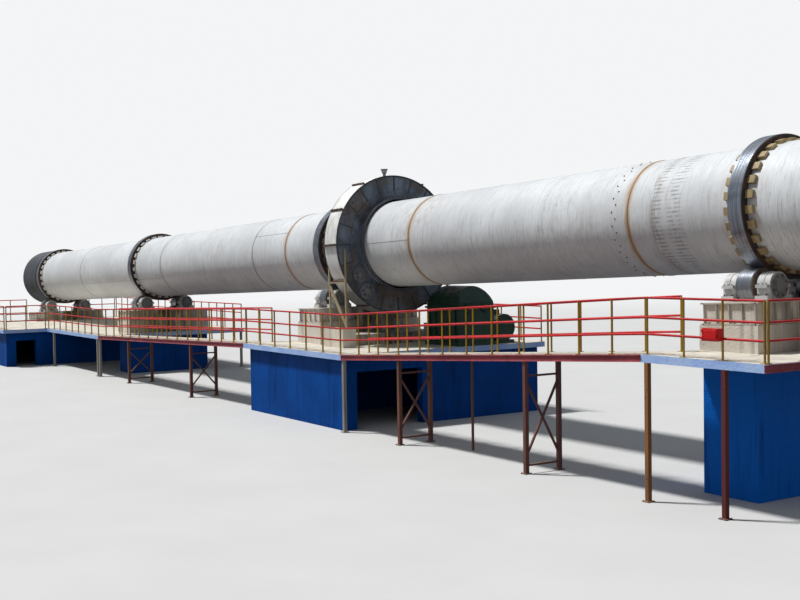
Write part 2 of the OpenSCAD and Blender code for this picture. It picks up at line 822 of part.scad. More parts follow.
module hose_box() {
    // It hangs on the outside of the third post of the near railing
    length = rail_x1[0] - rail_x0[0];
    post_x = rail_x0[0] + 2 * length / ceil(length / rail_pitch);
    y = rail_inset - deck_near[0] - rail_post / 2;
    color("red") translate([post_x - box_l + rail_post, y - box_d, deck_z(0) + box_z])
        cube([box_l, box_d, box_h]);
}
// Size of the small box and its height above the deck
box_l = 200;
box_d = 80;
box_h = 125;
box_z = 190;

shell_feed();
shell_upper();
shell_middle();
shell_discharge();
brick_lining();
tyre_1();
tyre_2();
tyre_3();
tyre_4();
tyre_blocks();
girth_gear();
cooling_shroud();
roller_1_near();
roller_1_far();
roller_2_near();
roller_2_far();
roller_3_near();
roller_3_far();
roller_4_near();
roller_4_far();
bearings_1();
bearings_2();
bearings_3();
bearings_4();
roller_bed_1();
roller_bed_2();
roller_bed_3();
roller_bed_4();
drive_bed();
pier_1();
pier_2();
pier_3();
pier_4();
deck_1();
deck_2();
deck_3();
deck_4();
walkway_12();
walkway_23();
walkway_posts();
railing_near();
railing_inner();
railing_far();
railing_ends();
gear_guard_upper();
gear_guard_lower();
guard_frame();
guard_vent();
gear_reducer();
drive_motor();
hose_box();
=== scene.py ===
# %% [markdown]
# # A rotary kiln at half size
# A rotary kiln is a long steel tube lined with brick. It lies a little aslant on steel tyres, and each tyre
# rolls on two rollers. This lesson dresses the plain model of such a kiln: it adds bolts, welds, ribs and
# channels, and gives every surface a finish made from nodes. The model's own solids are never moved.

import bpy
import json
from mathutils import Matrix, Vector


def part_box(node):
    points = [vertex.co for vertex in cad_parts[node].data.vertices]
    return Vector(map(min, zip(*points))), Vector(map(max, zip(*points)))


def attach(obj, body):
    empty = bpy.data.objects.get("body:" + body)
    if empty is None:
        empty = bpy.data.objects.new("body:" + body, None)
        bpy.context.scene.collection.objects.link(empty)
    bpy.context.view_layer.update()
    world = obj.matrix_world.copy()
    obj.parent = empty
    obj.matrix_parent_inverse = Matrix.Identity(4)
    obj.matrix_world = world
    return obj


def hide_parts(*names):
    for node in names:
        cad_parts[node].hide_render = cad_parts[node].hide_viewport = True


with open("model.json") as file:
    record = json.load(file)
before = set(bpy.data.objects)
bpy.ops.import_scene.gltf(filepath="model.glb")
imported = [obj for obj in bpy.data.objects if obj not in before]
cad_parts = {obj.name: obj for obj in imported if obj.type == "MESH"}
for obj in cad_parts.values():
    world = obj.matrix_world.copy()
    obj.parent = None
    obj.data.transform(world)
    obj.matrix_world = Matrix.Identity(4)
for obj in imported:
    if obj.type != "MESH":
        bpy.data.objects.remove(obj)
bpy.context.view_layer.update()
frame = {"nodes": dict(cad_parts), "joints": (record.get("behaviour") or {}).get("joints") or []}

import json
import math
import random

import bmesh
import bpy
import numpy as np
from mathutils import Matrix, Vector

# %% [markdown]
# ## The kiln's own axis
# Everything round follows the aslant axis, so it pays to work in the kiln's own frame: s along the axis from
# tyre 2, y across, z up from the axis. The joint of the model gives the axis, and the pieces' corners give
# radii and places, so few sizes have to be typed twice. What stands level is made in the world's frame.

# %% The kiln frame and the sizes that the model gives
joints = {joint["name"]: joint for joint in frame["joints"]}
AXIS_POINT = Vector(joints["kiln_spin"]["pos_m"])
AXIS = Vector(joints["kiln_spin"]["axis"]).normalized()
ACROSS = Vector((0, 1, 0))
UPRIGHT = AXIS.cross(ACROSS).normalized()
KILN = Matrix.Translation(AXIS_POINT) @ Matrix((AXIS, ACROSS, UPRIGHT)).transposed().to_4x4()
TO_KILN = KILN.inverted()
WORLD = Matrix.Identity(4)
UP = (0, 0, 1)


def kiln_points(node):
    """The corners of a model piece in the kiln frame."""
    mesh = frame["nodes"][node].data
    points = np.empty(len(mesh.vertices) * 3)
    mesh.vertices.foreach_get("co", points)
    turn = np.array(TO_KILN)
    return points.reshape(-1, 3) @ turn[:3, :3].T + turn[:3, 3]


def span(node):
    """Where a piece starts and ends along the kiln."""
    s = kiln_points(node)[:, 0]
    return float(s.min()), float(s.max())


def across(node):
    """Half the width of a piece across the kiln, which is the radius of a round one."""
    low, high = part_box(node)
    return (high.y - low.y) / 2


SHELL_R = across("shell_feed")
TYRES = [sum(span(f"tyre_{i}")) / 2 for i in (1, 2, 3, 4)]
print("shell radius", round(SHELL_R, 3), "tyres at", [round(s, 3) for s in TYRES])

# %% [markdown]
# ## The camera
# The photograph looks along the kiln from its upper end, a little below the shell, with a normal lens. The
# camera is placed by its height, its heading (turned from +Y towards -X), its tilt and its small roll.

# %% Set the camera
EYE_BELOW_AXIS = 0.184
EYE = Vector((17.822, -10.608, AXIS_POINT.z - EYE_BELOW_AXIS))
HEADING = math.radians(57.12)
TILT = math.radians(-2.026)
ROLL = math.radians(-0.871)
LENS_IN_WIDTHS = 1.481
SENSOR = 36

camera_data = bpy.data.cameras.new("camera")
camera_data.sensor_width = SENSOR
camera_data.lens = LENS_IN_WIDTHS * SENSOR
camera_data.clip_end = 500
camera = bpy.data.objects.new("camera", camera_data)
bpy.context.scene.collection.objects.link(camera)
camera.matrix_world = (
    Matrix.Translation(EYE)
    @ Matrix.Rotation(HEADING, 4, "Z")
    @ Matrix.Rotation(math.radians(90) + TILT, 4, "X")
    @ Matrix.Rotation(ROLL, 4, "Z")
)
bpy.context.scene.camera = camera
print("lens", round(camera_data.lens, 1), "mm")

# %% [markdown]
# ## Colours and nodes
# Colours are written as sRGB hex, as a picture editor shows them, and turned into the linear values that
# shaders need. One small helper adds a node and fills its inputs, so a whole tree reads like a list.

# %% Small helpers for colours and nodes
def linear(hex_colour):
    """A colour written as sRGB hex, turned into the linear values that shaders use."""
    channels = [int(hex_colour[i : i + 2], 16) / 255 for i in (1, 3, 5)]
    return [c / 12.92 if c <= 0.04045 else ((c + 0.055) / 1.055) ** 2.4 for c in channels] + [1.0]


def add(tree, kind, inputs=None, **settings):
    """Adds a node, sets its settings, and fills its inputs with values or links from other nodes."""
    node = tree.nodes.new(kind)
    for name, value in settings.items():
        setattr(node, name, value)
    for name, value in (inputs or {}).items():
        if isinstance(value, bpy.types.NodeSocket):
            tree.links.new(value, node.inputs[name])
        else:
            node.inputs[name].default_value = value
    return node


def blend(tree, mask, below, above):
    """The colour above laid over the colour below where the mask is 1."""
    return add(tree, "ShaderNodeMix", {"Factor": mask, 6: below, 7: above}, data_type="RGBA").outputs[2]


# %% [markdown]
# ## Light
# A pale world lights the kiln evenly, and one broad sun from high on the viewer's left models the round
# shell, as daylight does in the photograph. Their strengths bring white paint in full sun close to pure
# white. Only the camera sees the white backdrop; the pieces are lit by the sky colour.

# %% Light the scene
SUN_FROM = Vector((-0.42, -0.36, 1.0))
SUN_STRENGTH = 3.7
SUN_WIDTH = math.radians(6)
SKY_STRENGTH = 0.30
BACKDROP = linear("#f4f5f6")

scene = bpy.context.scene
scene.view_settings.view_transform = "Standard"
world = bpy.data.worlds.new("studio")
world.use_nodes = True
scene.world = world
tree = world.node_tree
tree.nodes.clear()
seen = add(tree, "ShaderNodeLightPath").outputs["Is Camera Ray"]
sky = add(tree, "ShaderNodeBackground", {"Color": linear("#e9f1fb"), "Strength": SKY_STRENGTH}).outputs[0]
backdrop = add(tree, "ShaderNodeBackground", {"Color": BACKDROP, "Strength": 1.0}).outputs[0]
mixed = add(tree, "ShaderNodeMixShader", {0: seen, 1: sky, 2: backdrop}).outputs[0]
add(tree, "ShaderNodeOutputWorld", {"Surface": mixed})

sun_data = bpy.data.lights.new("sun", "SUN")
sun_data.energy = SUN_STRENGTH
sun_data.angle = SUN_WIDTH
sun_data.color = linear("#fffefc")[:3]
sun = bpy.data.objects.new("sun", sun_data)
sun.rotation_euler = SUN_FROM.to_track_quat("Z", "Y").to_euler()
scene.collection.objects.link(sun)
print("sun", SUN_STRENGTH, "sky", SKY_STRENGTH)

# %% [markdown]
# ## The floor
# The floor only catches shadows, so it is one pale sheet, a hair below the model. Far from the kiln it fades
# into the backdrop, or its edge would draw a horizon through the picture.

# %% The floor
FLOOR_HALF = 250
FLOOR_CLEAR = 22
FLOOR_FADE = 60
FLOOR_DROP = 0.002

floor_mesh = bpy.data.meshes.new("floor")
corners = [(x * FLOOR_HALF, y * FLOOR_HALF, -FLOOR_DROP) for x, y in ((-1, -1), (1, -1), (1, 1), (-1, 1))]
floor_mesh.from_pydata(corners, [], [(0, 1, 2, 3)])
floor = bpy.data.objects.new("floor", floor_mesh)
scene.collection.objects.link(floor)
floor_material = bpy.data.materials.new("pale studio floor")
floor_material.use_nodes = True
tree = floor_material.node_tree
tree.nodes.clear()
place = add(tree, "ShaderNodeTexCoord").outputs["Object"]
seen = add(tree, "ShaderNodeLightPath").outputs["Is Camera Ray"]
grain = add(tree, "ShaderNodeTexNoise", {"Vector": place, "Scale": 0.8, "Detail": 6.0}).outputs["Fac"]
tint = blend(tree, grain, linear("#c4c4c3"), linear("#cfcfce"))
# The camera sees the floor pale, but it throws back only as much light as worn paving does
shade = blend(tree, seen, linear("#666665"), tint)
matte = add(tree, "ShaderNodeBsdfPrincipled", {"Base Color": shade, "Roughness": 0.85}).outputs[0]
glow = add(tree, "ShaderNodeEmission", {"Color": BACKDROP, "Strength": 1.0}).outputs[0]
away = add(tree, "ShaderNodeVectorMath", {0: place}, operation="LENGTH").outputs["Value"]
fade = add(tree, "ShaderNodeMapRange", {"Value": away, "From Min": FLOOR_CLEAR, "From Max": FLOOR_FADE},
           interpolation_type="SMOOTHSTEP").outputs["Result"]
fade = add(tree, "ShaderNodeMath", {0: fade, 1: seen}, operation="MULTIPLY").outputs[0]
mixed = add(tree, "ShaderNodeMixShader", {0: fade, 1: matte, 2: glow}).outputs[0]
add(tree, "ShaderNodeOutputMaterial", {"Surface": mixed})
floor_mesh.materials.append(floor_material)
print("floor clear to", FLOOR_CLEAR, "m, gone at", FLOOR_FADE, "m")

# %% [markdown]
# ## Finishes in layers
# Old paint is a pile of layers: a base coat, faded patches, grime, chips and dust. The class below builds a
# material in the same way: over() lays colour on colour, each where its mask is 1. Masks are noise that is
# cut to islands, or drawn out: round the kiln into rings, or down into runs. A Mapping node turns the
# object's coordinates into the kiln's s, y and z, so that rings follow the aslant axis. Scales count patterns
# per metre of this half-size model: 40 per metre are patterns of 25 mm here and of 50 mm on the real kiln.

# %% The class that builds a finish
class Finish:
    """A material in the making, with a point's place in the object and in the kiln's own frame."""

    def __init__(self, name, roughness=0.6, metallic=0.0):
        self.material = bpy.data.materials.new(name)
        self.material.use_nodes = True
        self.tree = self.material.node_tree
        self.tree.nodes.clear()
        self.shader = self.add("ShaderNodeBsdfPrincipled", {"Roughness": roughness, "Metallic": metallic})
        self.add("ShaderNodeOutputMaterial", {"Surface": self.shader.outputs[0]})
        self.place = self.add("ShaderNodeTexCoord").outputs["Object"]
        turn, shift = TO_KILN.to_euler("XYZ"), TO_KILN.translation
        self.along = self.add("ShaderNodeMapping", {
            "Vector": self.place, "Location": shift, "Rotation": turn}).outputs[0]
        self.s, self.y, self.z = self.add("ShaderNodeSeparateXYZ", {0: self.along}).outputs

    def add(self, kind, inputs=None, **settings):
        """A node in this finish's tree."""
        return add(self.tree, kind, inputs, **settings)

    def times(self, mask, *others):
        """Masks and numbers multiplied."""
        for other in others:
            mask = self.add("ShaderNodeMath", {0: mask, 1: other}, operation="MULTIPLY").outputs[0]
        return mask

    def mask(self, value, low, high, kind="LINEAR"):
        """A mask that is 0 where a value is at low and 1 where it is at high."""
        return self.add("ShaderNodeMapRange", {"Value": value, "From Min": low, "From Max": high},
                        interpolation_type=kind).outputs["Result"]

    def level(self, mask, bare, covered):
        """A number, such as a roughness, that goes from one value to another with a mask."""
        ends = {"Value": mask, "To Min": bare, "To Max": covered}
        return self.add("ShaderNodeMapRange", ends).outputs["Result"]

    def angle(self):
        """The angle round the kiln's axis, from the top."""
        return self.add("ShaderNodeMath", {0: self.y, 1: self.z}, operation="ARCTAN2").outputs[0]

    def noise(self, place, scale, low, high, detail=5.0, roughness=0.55):
        """Noise cut to a mask that is 0 below low and 1 above high."""
        cloud = self.add("ShaderNodeTexNoise", {"Vector": place, "Scale": scale, "Detail": detail,
                                                "Roughness": roughness})
        return self.mask(cloud.outputs["Fac"], low, high, "SMOOTHSTEP")

    def drawn(self, place, scales, low, high, detail):
        """Noise with its own count of patterns per metre along each axis."""
        place = self.add("ShaderNodeMapping", {"Vector": place, "Scale": scales}).outputs[0]
        return self.noise(place, 1.0, low, high, detail)

    def rings(self, lengthwise, crosswise, low, high, detail=5.0):
        """Noise drawn out round the kiln."""
        return self.drawn(self.along, (lengthwise, crosswise, crosswise), low, high, detail)

    def runs(self, level, down, low, high, detail=5.0):
        """Noise drawn out downwards, as rain and rust run."""
        return self.drawn(self.place, (level, level, down), low, high, detail)

    def near(self, value, centre, width):
        """1 at a centre value, fading to 0 a width away."""
        off = self.add("ShaderNodeMath", {0: value, 1: centre}, operation="SUBTRACT").outputs[0]
        off = self.add("ShaderNodeMath", {0: off}, operation="ABSOLUTE").outputs[0]
        return self.mask(off, width, 0.0, "SMOOTHSTEP")

    def facing(self, direction):
        """1 on faces that look along a direction or against it, 0 on faces that lie along it."""
        normal = self.add("ShaderNodeNewGeometry").outputs["Normal"]
        dot = self.add("ShaderNodeVectorMath", {0: normal, 1: tuple(direction)}, operation="DOT_PRODUCT")
        size = self.add("ShaderNodeMath", {0: dot.outputs["Value"]}, operation="ABSOLUTE").outputs[0]
        return self.mask(size, 0.45, 0.75)

    def upward(self):
        """1 on faces that look up, where dust settles; only for pieces that stand still."""
        normal = self.add("ShaderNodeNewGeometry").outputs["Normal"]
        return self.mask(self.add("ShaderNodeSeparateXYZ", {0: normal}).outputs["Z"], 0.5, 0.9)

    def over(self, colour, *layers):
        """Colours laid over one another: each layer is its colour, its mask and how strongly it shows."""
        below = linear(colour) if isinstance(colour, str) else colour
        for above, mask, *strength in layers:
            above = linear(above) if isinstance(above, str) else above
            below = blend(self.tree, self.times(mask, *strength), below, above)
        return below

    def done(self, colour, height, depth, **driven):
        """Links colour, relief (depth in metres) and other driven values, and hands the material over."""
        relief = self.add("ShaderNodeBump", {"Height": height, "Distance": depth, "Strength": 1.0}).outputs[0]
        for name, socket in {"Base Color": colour, "Normal": relief, **driven}.items():
            self.tree.links.new(socket, self.shader.inputs[name])
        return self.material


# %% [markdown]
# ### The shell's paint
# The shell is rolled boiler plate with an off-white, heat-proof paint that was brushed on and then weathered.
# Rain and dust draw thin streaks round it, welds bleed a tan rust, and the chain of a scraper left a band of
# short dark marks near the upper tyre. Each of these is one layer over the base colour.

# %% Weathered white paint on rolled steel
WELDS = [-1.31, 2.748, 7.483]
SEAMS = [-13.06, -7.38, -2.67]
PAINTED_SEAMS = [-10.2, 4.35, 5.9, 9.98, 10.9]
SCRAPED = (7.84, 8.36)
SCRAPE_MARKS = 176


def shell_paint():
    """Off-white paint whose streaks and rust lines keep a long plain tube from looking like plastic."""
    make = Finish("weathered white paint on rolled steel")
    # Brush strokes and rain streaks run round the shell, from 15 to 50 mm wide on the real one
    fine = make.rings(42, 3.4, 0.47, 0.72, 7.0)
    # Dashes where a trowel or chain has scraped the paint: real ones are 10 by 100 mm, and they are drawn
    # as 25 by 300 mm so that they show
    dash = make.times(make.rings(80, 6, 0.62, 0.72, 2.0), make.noise(make.along, 1.1, 0.44, 0.60))
    stain = make.times(make.noise(make.along, 0.5, 0.57, 0.70), make.noise(make.along, 9.0, 0.42, 0.62))
    layers = [
        ("#d3d6d9", make.noise(make.along, 0.8, 0.35, 0.65)),
        ("#a3a19d", fine, 0.42),
        ("#b3aea6", make.rings(9, 0.6, 0.50, 0.76), 0.16),
        ("#9a948b", make.noise(make.along, 5.0, 0.44, 0.62, 8.0, 0.7), 0.10),
        ("#5a524b", dash, 0.62),
        ("#75604e", make.noise(make.along, 30.0, 0.71, 0.77, 2.0), 0.6),
        ("#a08674", stain, 0.22),
    ]
    # Welds bleed rust 260 mm to both sides, tyres smear tan grease, and seams gather dirt
    drip = make.rings(16, 4, 0.34, 0.66)
    for weld in WELDS:
        layers.append(("#b7966c", make.times(make.near(make.s, weld, 0.13), drip), 0.65))
        layers.append(("#ab855a", make.near(make.s, weld, 0.06), 0.9))
    for tyre in TYRES[:2]:
        halo = make.times(make.near(make.s, tyre, 0.40), make.rings(9, 5, 0.45, 0.62))
        layers.append(("#a08a62", halo, 0.5))
    for seam in SEAMS:
        layers.append(("#857b70", make.near(make.s, seam, 0.05), 0.6))
    # The scraper's marks: two bands of short dashes, and a narrow brown smear beside them
    wave = make.add("ShaderNodeMath", {0: make.times(make.angle(), SCRAPE_MARKS / 2)}, operation="SINE")
    marks = make.mask(wave.outputs[0], 0.0, 0.5)
    middle, half = sum(SCRAPED) / 2, (SCRAPED[1] - SCRAPED[0]) / 2
    bands = make.add("ShaderNodeMath", {0: make.near(make.s, middle - half * 0.55, half * 0.5),
                                        1: make.near(make.s, middle + half * 0.45, half * 0.65)},
                     operation="MAXIMUM").outputs[0]
    smear = make.times(make.near(make.s, SCRAPED[0] + 0.06, 0.13), make.rings(30, 4, 0.40, 0.62))
    layers.append(("#706b66", make.times(bands, marks, make.rings(9, 12, 0.36, 0.54)), 0.62))
    layers.append(("#7d6a5c", smear, 0.5))
    return make.done(make.over("#e2e6e9", *layers), make.rings(12, 3, 0.3, 0.7), 0.002,
                     Roughness=make.level(fine, 0.42, 0.62))


# %% [markdown]
# ### Steel that rolls, and steel that doesn't
# Tyres and rollers are cast steel, turned on a lathe. Their treads are burnished by rolling to a grey-blue
# shine with fine rings; their sides keep a brown skin of old grease and rust, drawn dark enough to be
# painted shade as well. A face's own direction tells the tread from the side, whichever way the kiln has
# turned.

# %% Burnished tread, and a side of grease and painted shade
def rolled_steel(name, tread, bright, side, rust):
    """Bright treads with lathe rings of 20 mm (drawn coarser than real tool marks) beside dull sides, whose
    dark is grease and painted shade.
    """
    make = Finish(name, 0.4, 0.75)
    rings = make.rings(90, 1.5, 0.35, 0.70, 4.0)
    polished = make.over(tread, (bright, rings, 0.6), ("#3c3d42", make.rings(3, 5, 0.45, 0.65), 0.35))
    # The sides are old grease and rust, drawn dark as painted shade as well
    grease_and_shade = make.over(side, (rust, make.noise(make.along, 7.0, 0.40, 0.62)))
    end = make.facing(AXIS)
    return make.done(make.over(polished, (grease_and_shade, end)), rings, 0.0006,
                     Roughness=make.level(end, 0.34, 0.72), Metallic=make.level(end, 0.8, 0.15))


# %% [markdown]
# ### Paint that stands still
# Piers, frames and railings are brush-painted. One recipe serves them all: patches of faded colour, grime
# that runs down, chips that show what lies under the paint, and dust on what looks up. The colours and how
# far each has gone differ from piece to piece.

# %% Brushed paint on steel or concrete
# How far from under the kiln's axis the grease stains and painted shade reach
GREASE_AND_SHADE_REACH = 1.25


def paint(name, colours, chip, grime="#4b453d", dust="#b9b3a7", worn=0.35, chips=0.5, dusty=0.4,
          relief=0.0012, roughness=(0.42, 0.62), turning=False, places=(), gloss=0.5, grease_and_shade=0.0):
    """Brushed paint; places lists other colours as (middle, reach, colour) along the kiln."""
    make = Finish(name)
    make.shader.inputs["Specular IOR Level"].default_value = gloss
    # On the real kiln fading comes in patches of 1.2 m, runs are 200 mm wide and chips up to 80 mm
    runs = make.runs(9, 0.8, 0.50, 0.74, 6.0)
    flakes = make.noise(make.place, 24.0, 0.63, 0.68, 6.0, 0.62)
    flakes = make.times(flakes, make.noise(make.place, 2.6, 0.46, 0.60))
    layers = [(colours[1], make.noise(make.place, 1.7, 0.36, 0.64))]
    lengthwise = make.add("ShaderNodeSeparateXYZ", {0: make.along if turning else make.place}).outputs[0]
    for middle, reach, other in places:
        within = make.add("ShaderNodeMath", {0: lengthwise, 1: middle, 2: reach}, operation="COMPARE")
        layers.append((other, within.outputs[0]))
    layers.append((grime, runs, worn))
    if grease_and_shade:
        # Under the kiln the paint darkens most near the middle: grease dripped from the rollers and the gear,
        # and painted shade under the kiln
        under = make.near(make.y, 0.0, GREASE_AND_SHADE_REACH)
        layers.append(("#39352f", make.times(under, make.runs(5, 1.2, 0.30, 0.52, 7.0)), grease_and_shade))
    layers.append((chip, flakes, chips))
    if not turning:
        layers.append((dust, make.times(make.upward(), make.noise(make.place, 11.0, 0.30, 0.60)), dusty))
    # Brush marks are patterns of 30 mm, coarser than real ones so that they show; chips are sunk into them
    height = make.add("ShaderNodeMath", {0: make.times(flakes, -1.0), 1: make.noise(
        make.place, 60.0, 0.2, 0.8, 3.0)}, operation="ADD").outputs[0]
    return make.done(make.over(colours[0], *layers), height, relief, Roughness=make.level(runs, *roughness))


# %% [markdown]
# ### Decks and walkways
# A deck is bare, pale concrete with a painted edge, and a walkway is bare steel in a painted frame. The
# direction of a face picks its colour, so the painted line ends sharply without a second material.

# %% Bare on top, painted on the edges
def top_and_edge(name, tops, edges, chip):
    """Concrete that is bare, pale and rough on top and painted on its edges."""
    make = Finish(name, 0.8)
    top = make.over(tops[0], (tops[1], make.noise(make.place, 2.2, 0.36, 0.64)),
                    ("#8d867a", make.noise(make.place, 6.0, 0.56, 0.70), 0.5))
    edge = make.over(edges[0], (edges[1], make.noise(make.place, 3.0, 0.40, 0.62)),
                     (chip, make.noise(make.place, 22.0, 0.62, 0.67, 6.0), 0.6))
    worn = make.noise(make.place, 8.0, 0.3, 0.7)
    # The grain of the cast surface, 45 mm on the real one; sand grains would be too fine to show
    grain = make.noise(make.place, 45.0, 0.25, 0.75)
    return make.done(make.over(edge, (top, make.facing(UP))), grain, 0.0015,
                     Roughness=make.level(worn, 0.62, 0.86))


# %% [markdown]
# ### The guard's sheet
# The gear guard is sheet steel with one grey paint. Its rim is drawn pale, which is painted light, and its
# faces and sleeves dark, which is painted shade, with rust and old grease on them. How far a point lies from
# the kiln's axis, and which way its face looks, tell the rim from the rest.
# How far a point lies from the kiln's axis, and which way its face looks, tell the rim from the rest.

# %% Rim in painted light and faces in painted shade
RIM_FROM = 1.0
# Below the axis, painted shade on the rim starts at the first height and is full at the second
RIM_SHADE_STARTS = -0.58
RIM_SHADE_FULL = -0.78


def sheet_lit_rim_shaded_faces(name, rims, faces):
    """Guard sheet: a rim painted pale as if lit, with dirty runs, and faces painted dark as if shaded, with
    rust, soot and spilt grease.
    """
    make = Finish(name, 0.55, 0.1)
    # The lower part of the rim darkens from the first height to the second below the axis: painted shade
    # The rim's pale base is the guard's grey paint drawn in full light: painted light
    rim = make.over(rims[0], (rims[1], make.noise(make.place, 5.0, 0.38, 0.62)),
                    ("#8f897d", make.runs(14, 1.5, 0.52, 0.7), 0.4),
                    ("#45484b", make.mask(make.z, RIM_SHADE_STARTS, RIM_SHADE_FULL), 0.9))
    # The faces' dark blue-grey base is the same grey paint drawn in shade: painted shade
    face = make.over(faces[0], (faces[1], make.noise(make.place, 2.6, 0.36, 0.62)),
                     ("#6d5c4e", make.noise(make.place, 1.3, 0.47, 0.57), 0.7),
                     ("#453a30", make.runs(6, 1.2, 0.46, 0.68), 0.60),
                     ("#7d6f62", make.noise(make.place, 4.2, 0.54, 0.66, 7.0, 0.65), 0.55),
                     ("#2b2a2b", make.noise(make.place, 13.0, 0.62, 0.70, 6.0), 0.7))
    flat = make.add("ShaderNodeCombineXYZ", {1: make.y, 2: make.z}).outputs[0]
    radius = make.add("ShaderNodeVectorMath", {0: flat}, operation="LENGTH").outputs["Value"]
    outside = make.add("ShaderNodeMath", {0: radius, 1: RIM_FROM}, operation="GREATER_THAN").outputs[0]
    inward = make.add("ShaderNodeMath", {0: 1.0, 1: make.facing(AXIS)}, operation="SUBTRACT").outputs[0]
    worn = make.noise(make.place, 6.0, 0.3, 0.7)
    return make.done(make.over(face, (rim, outside, inward)), make.noise(make.place, 3.0, 0.3, 0.7), 0.004,
                     Roughness=make.level(worn, 0.42, 0.66))


# %% [markdown]
# ### The lining
# The kiln is lined with fire brick, which shows at its open ends. A Brick node draws a flat wall, so here it
# is given the angle round the bore and the place along the kiln, and its rows run round with the lining.

# %% Fire brick round the bore
BRICK_W = 0.05
BRICK_L = 0.1
BRICK_ROWS = 80
MORTAR = 0.0025


def fire_brick(name):
    """Bricks of 100 by 200 mm (drawn at their real size) with sunk joints, blackened by the charge."""
    make = Finish(name, 0.85)
    rows = make.times(make.angle(), BRICK_ROWS * BRICK_W / (2 * math.pi))
    wall = make.add("ShaderNodeCombineXYZ", {0: rows, 1: make.s}).outputs[0]
    bricks = make.add("ShaderNodeTexBrick", {
        "Vector": wall, "Color1": linear("#9d7657"), "Color2": linear("#85644b"), "Mortar": linear("#4a3f37"),
        "Scale": 1.0, "Brick Width": BRICK_W, "Row Height": BRICK_L, "Mortar Size": MORTAR, "Bias": 0.0})
    colour = make.over(bricks.outputs["Color"], ("#3b332d", make.noise(make.along, 3.0, 0.35, 0.65), 0.5))
    return make.done(colour, make.times(bricks.outputs["Fac"], -1.0), 0.003)


# %% [markdown]
# ### The palette
# Each finish is named for its real material and how it was made. The colours were matched to the photograph
# in the light that is set up above, so they look right only in it. Every piece of the model gets its finish
# by the start of its name.

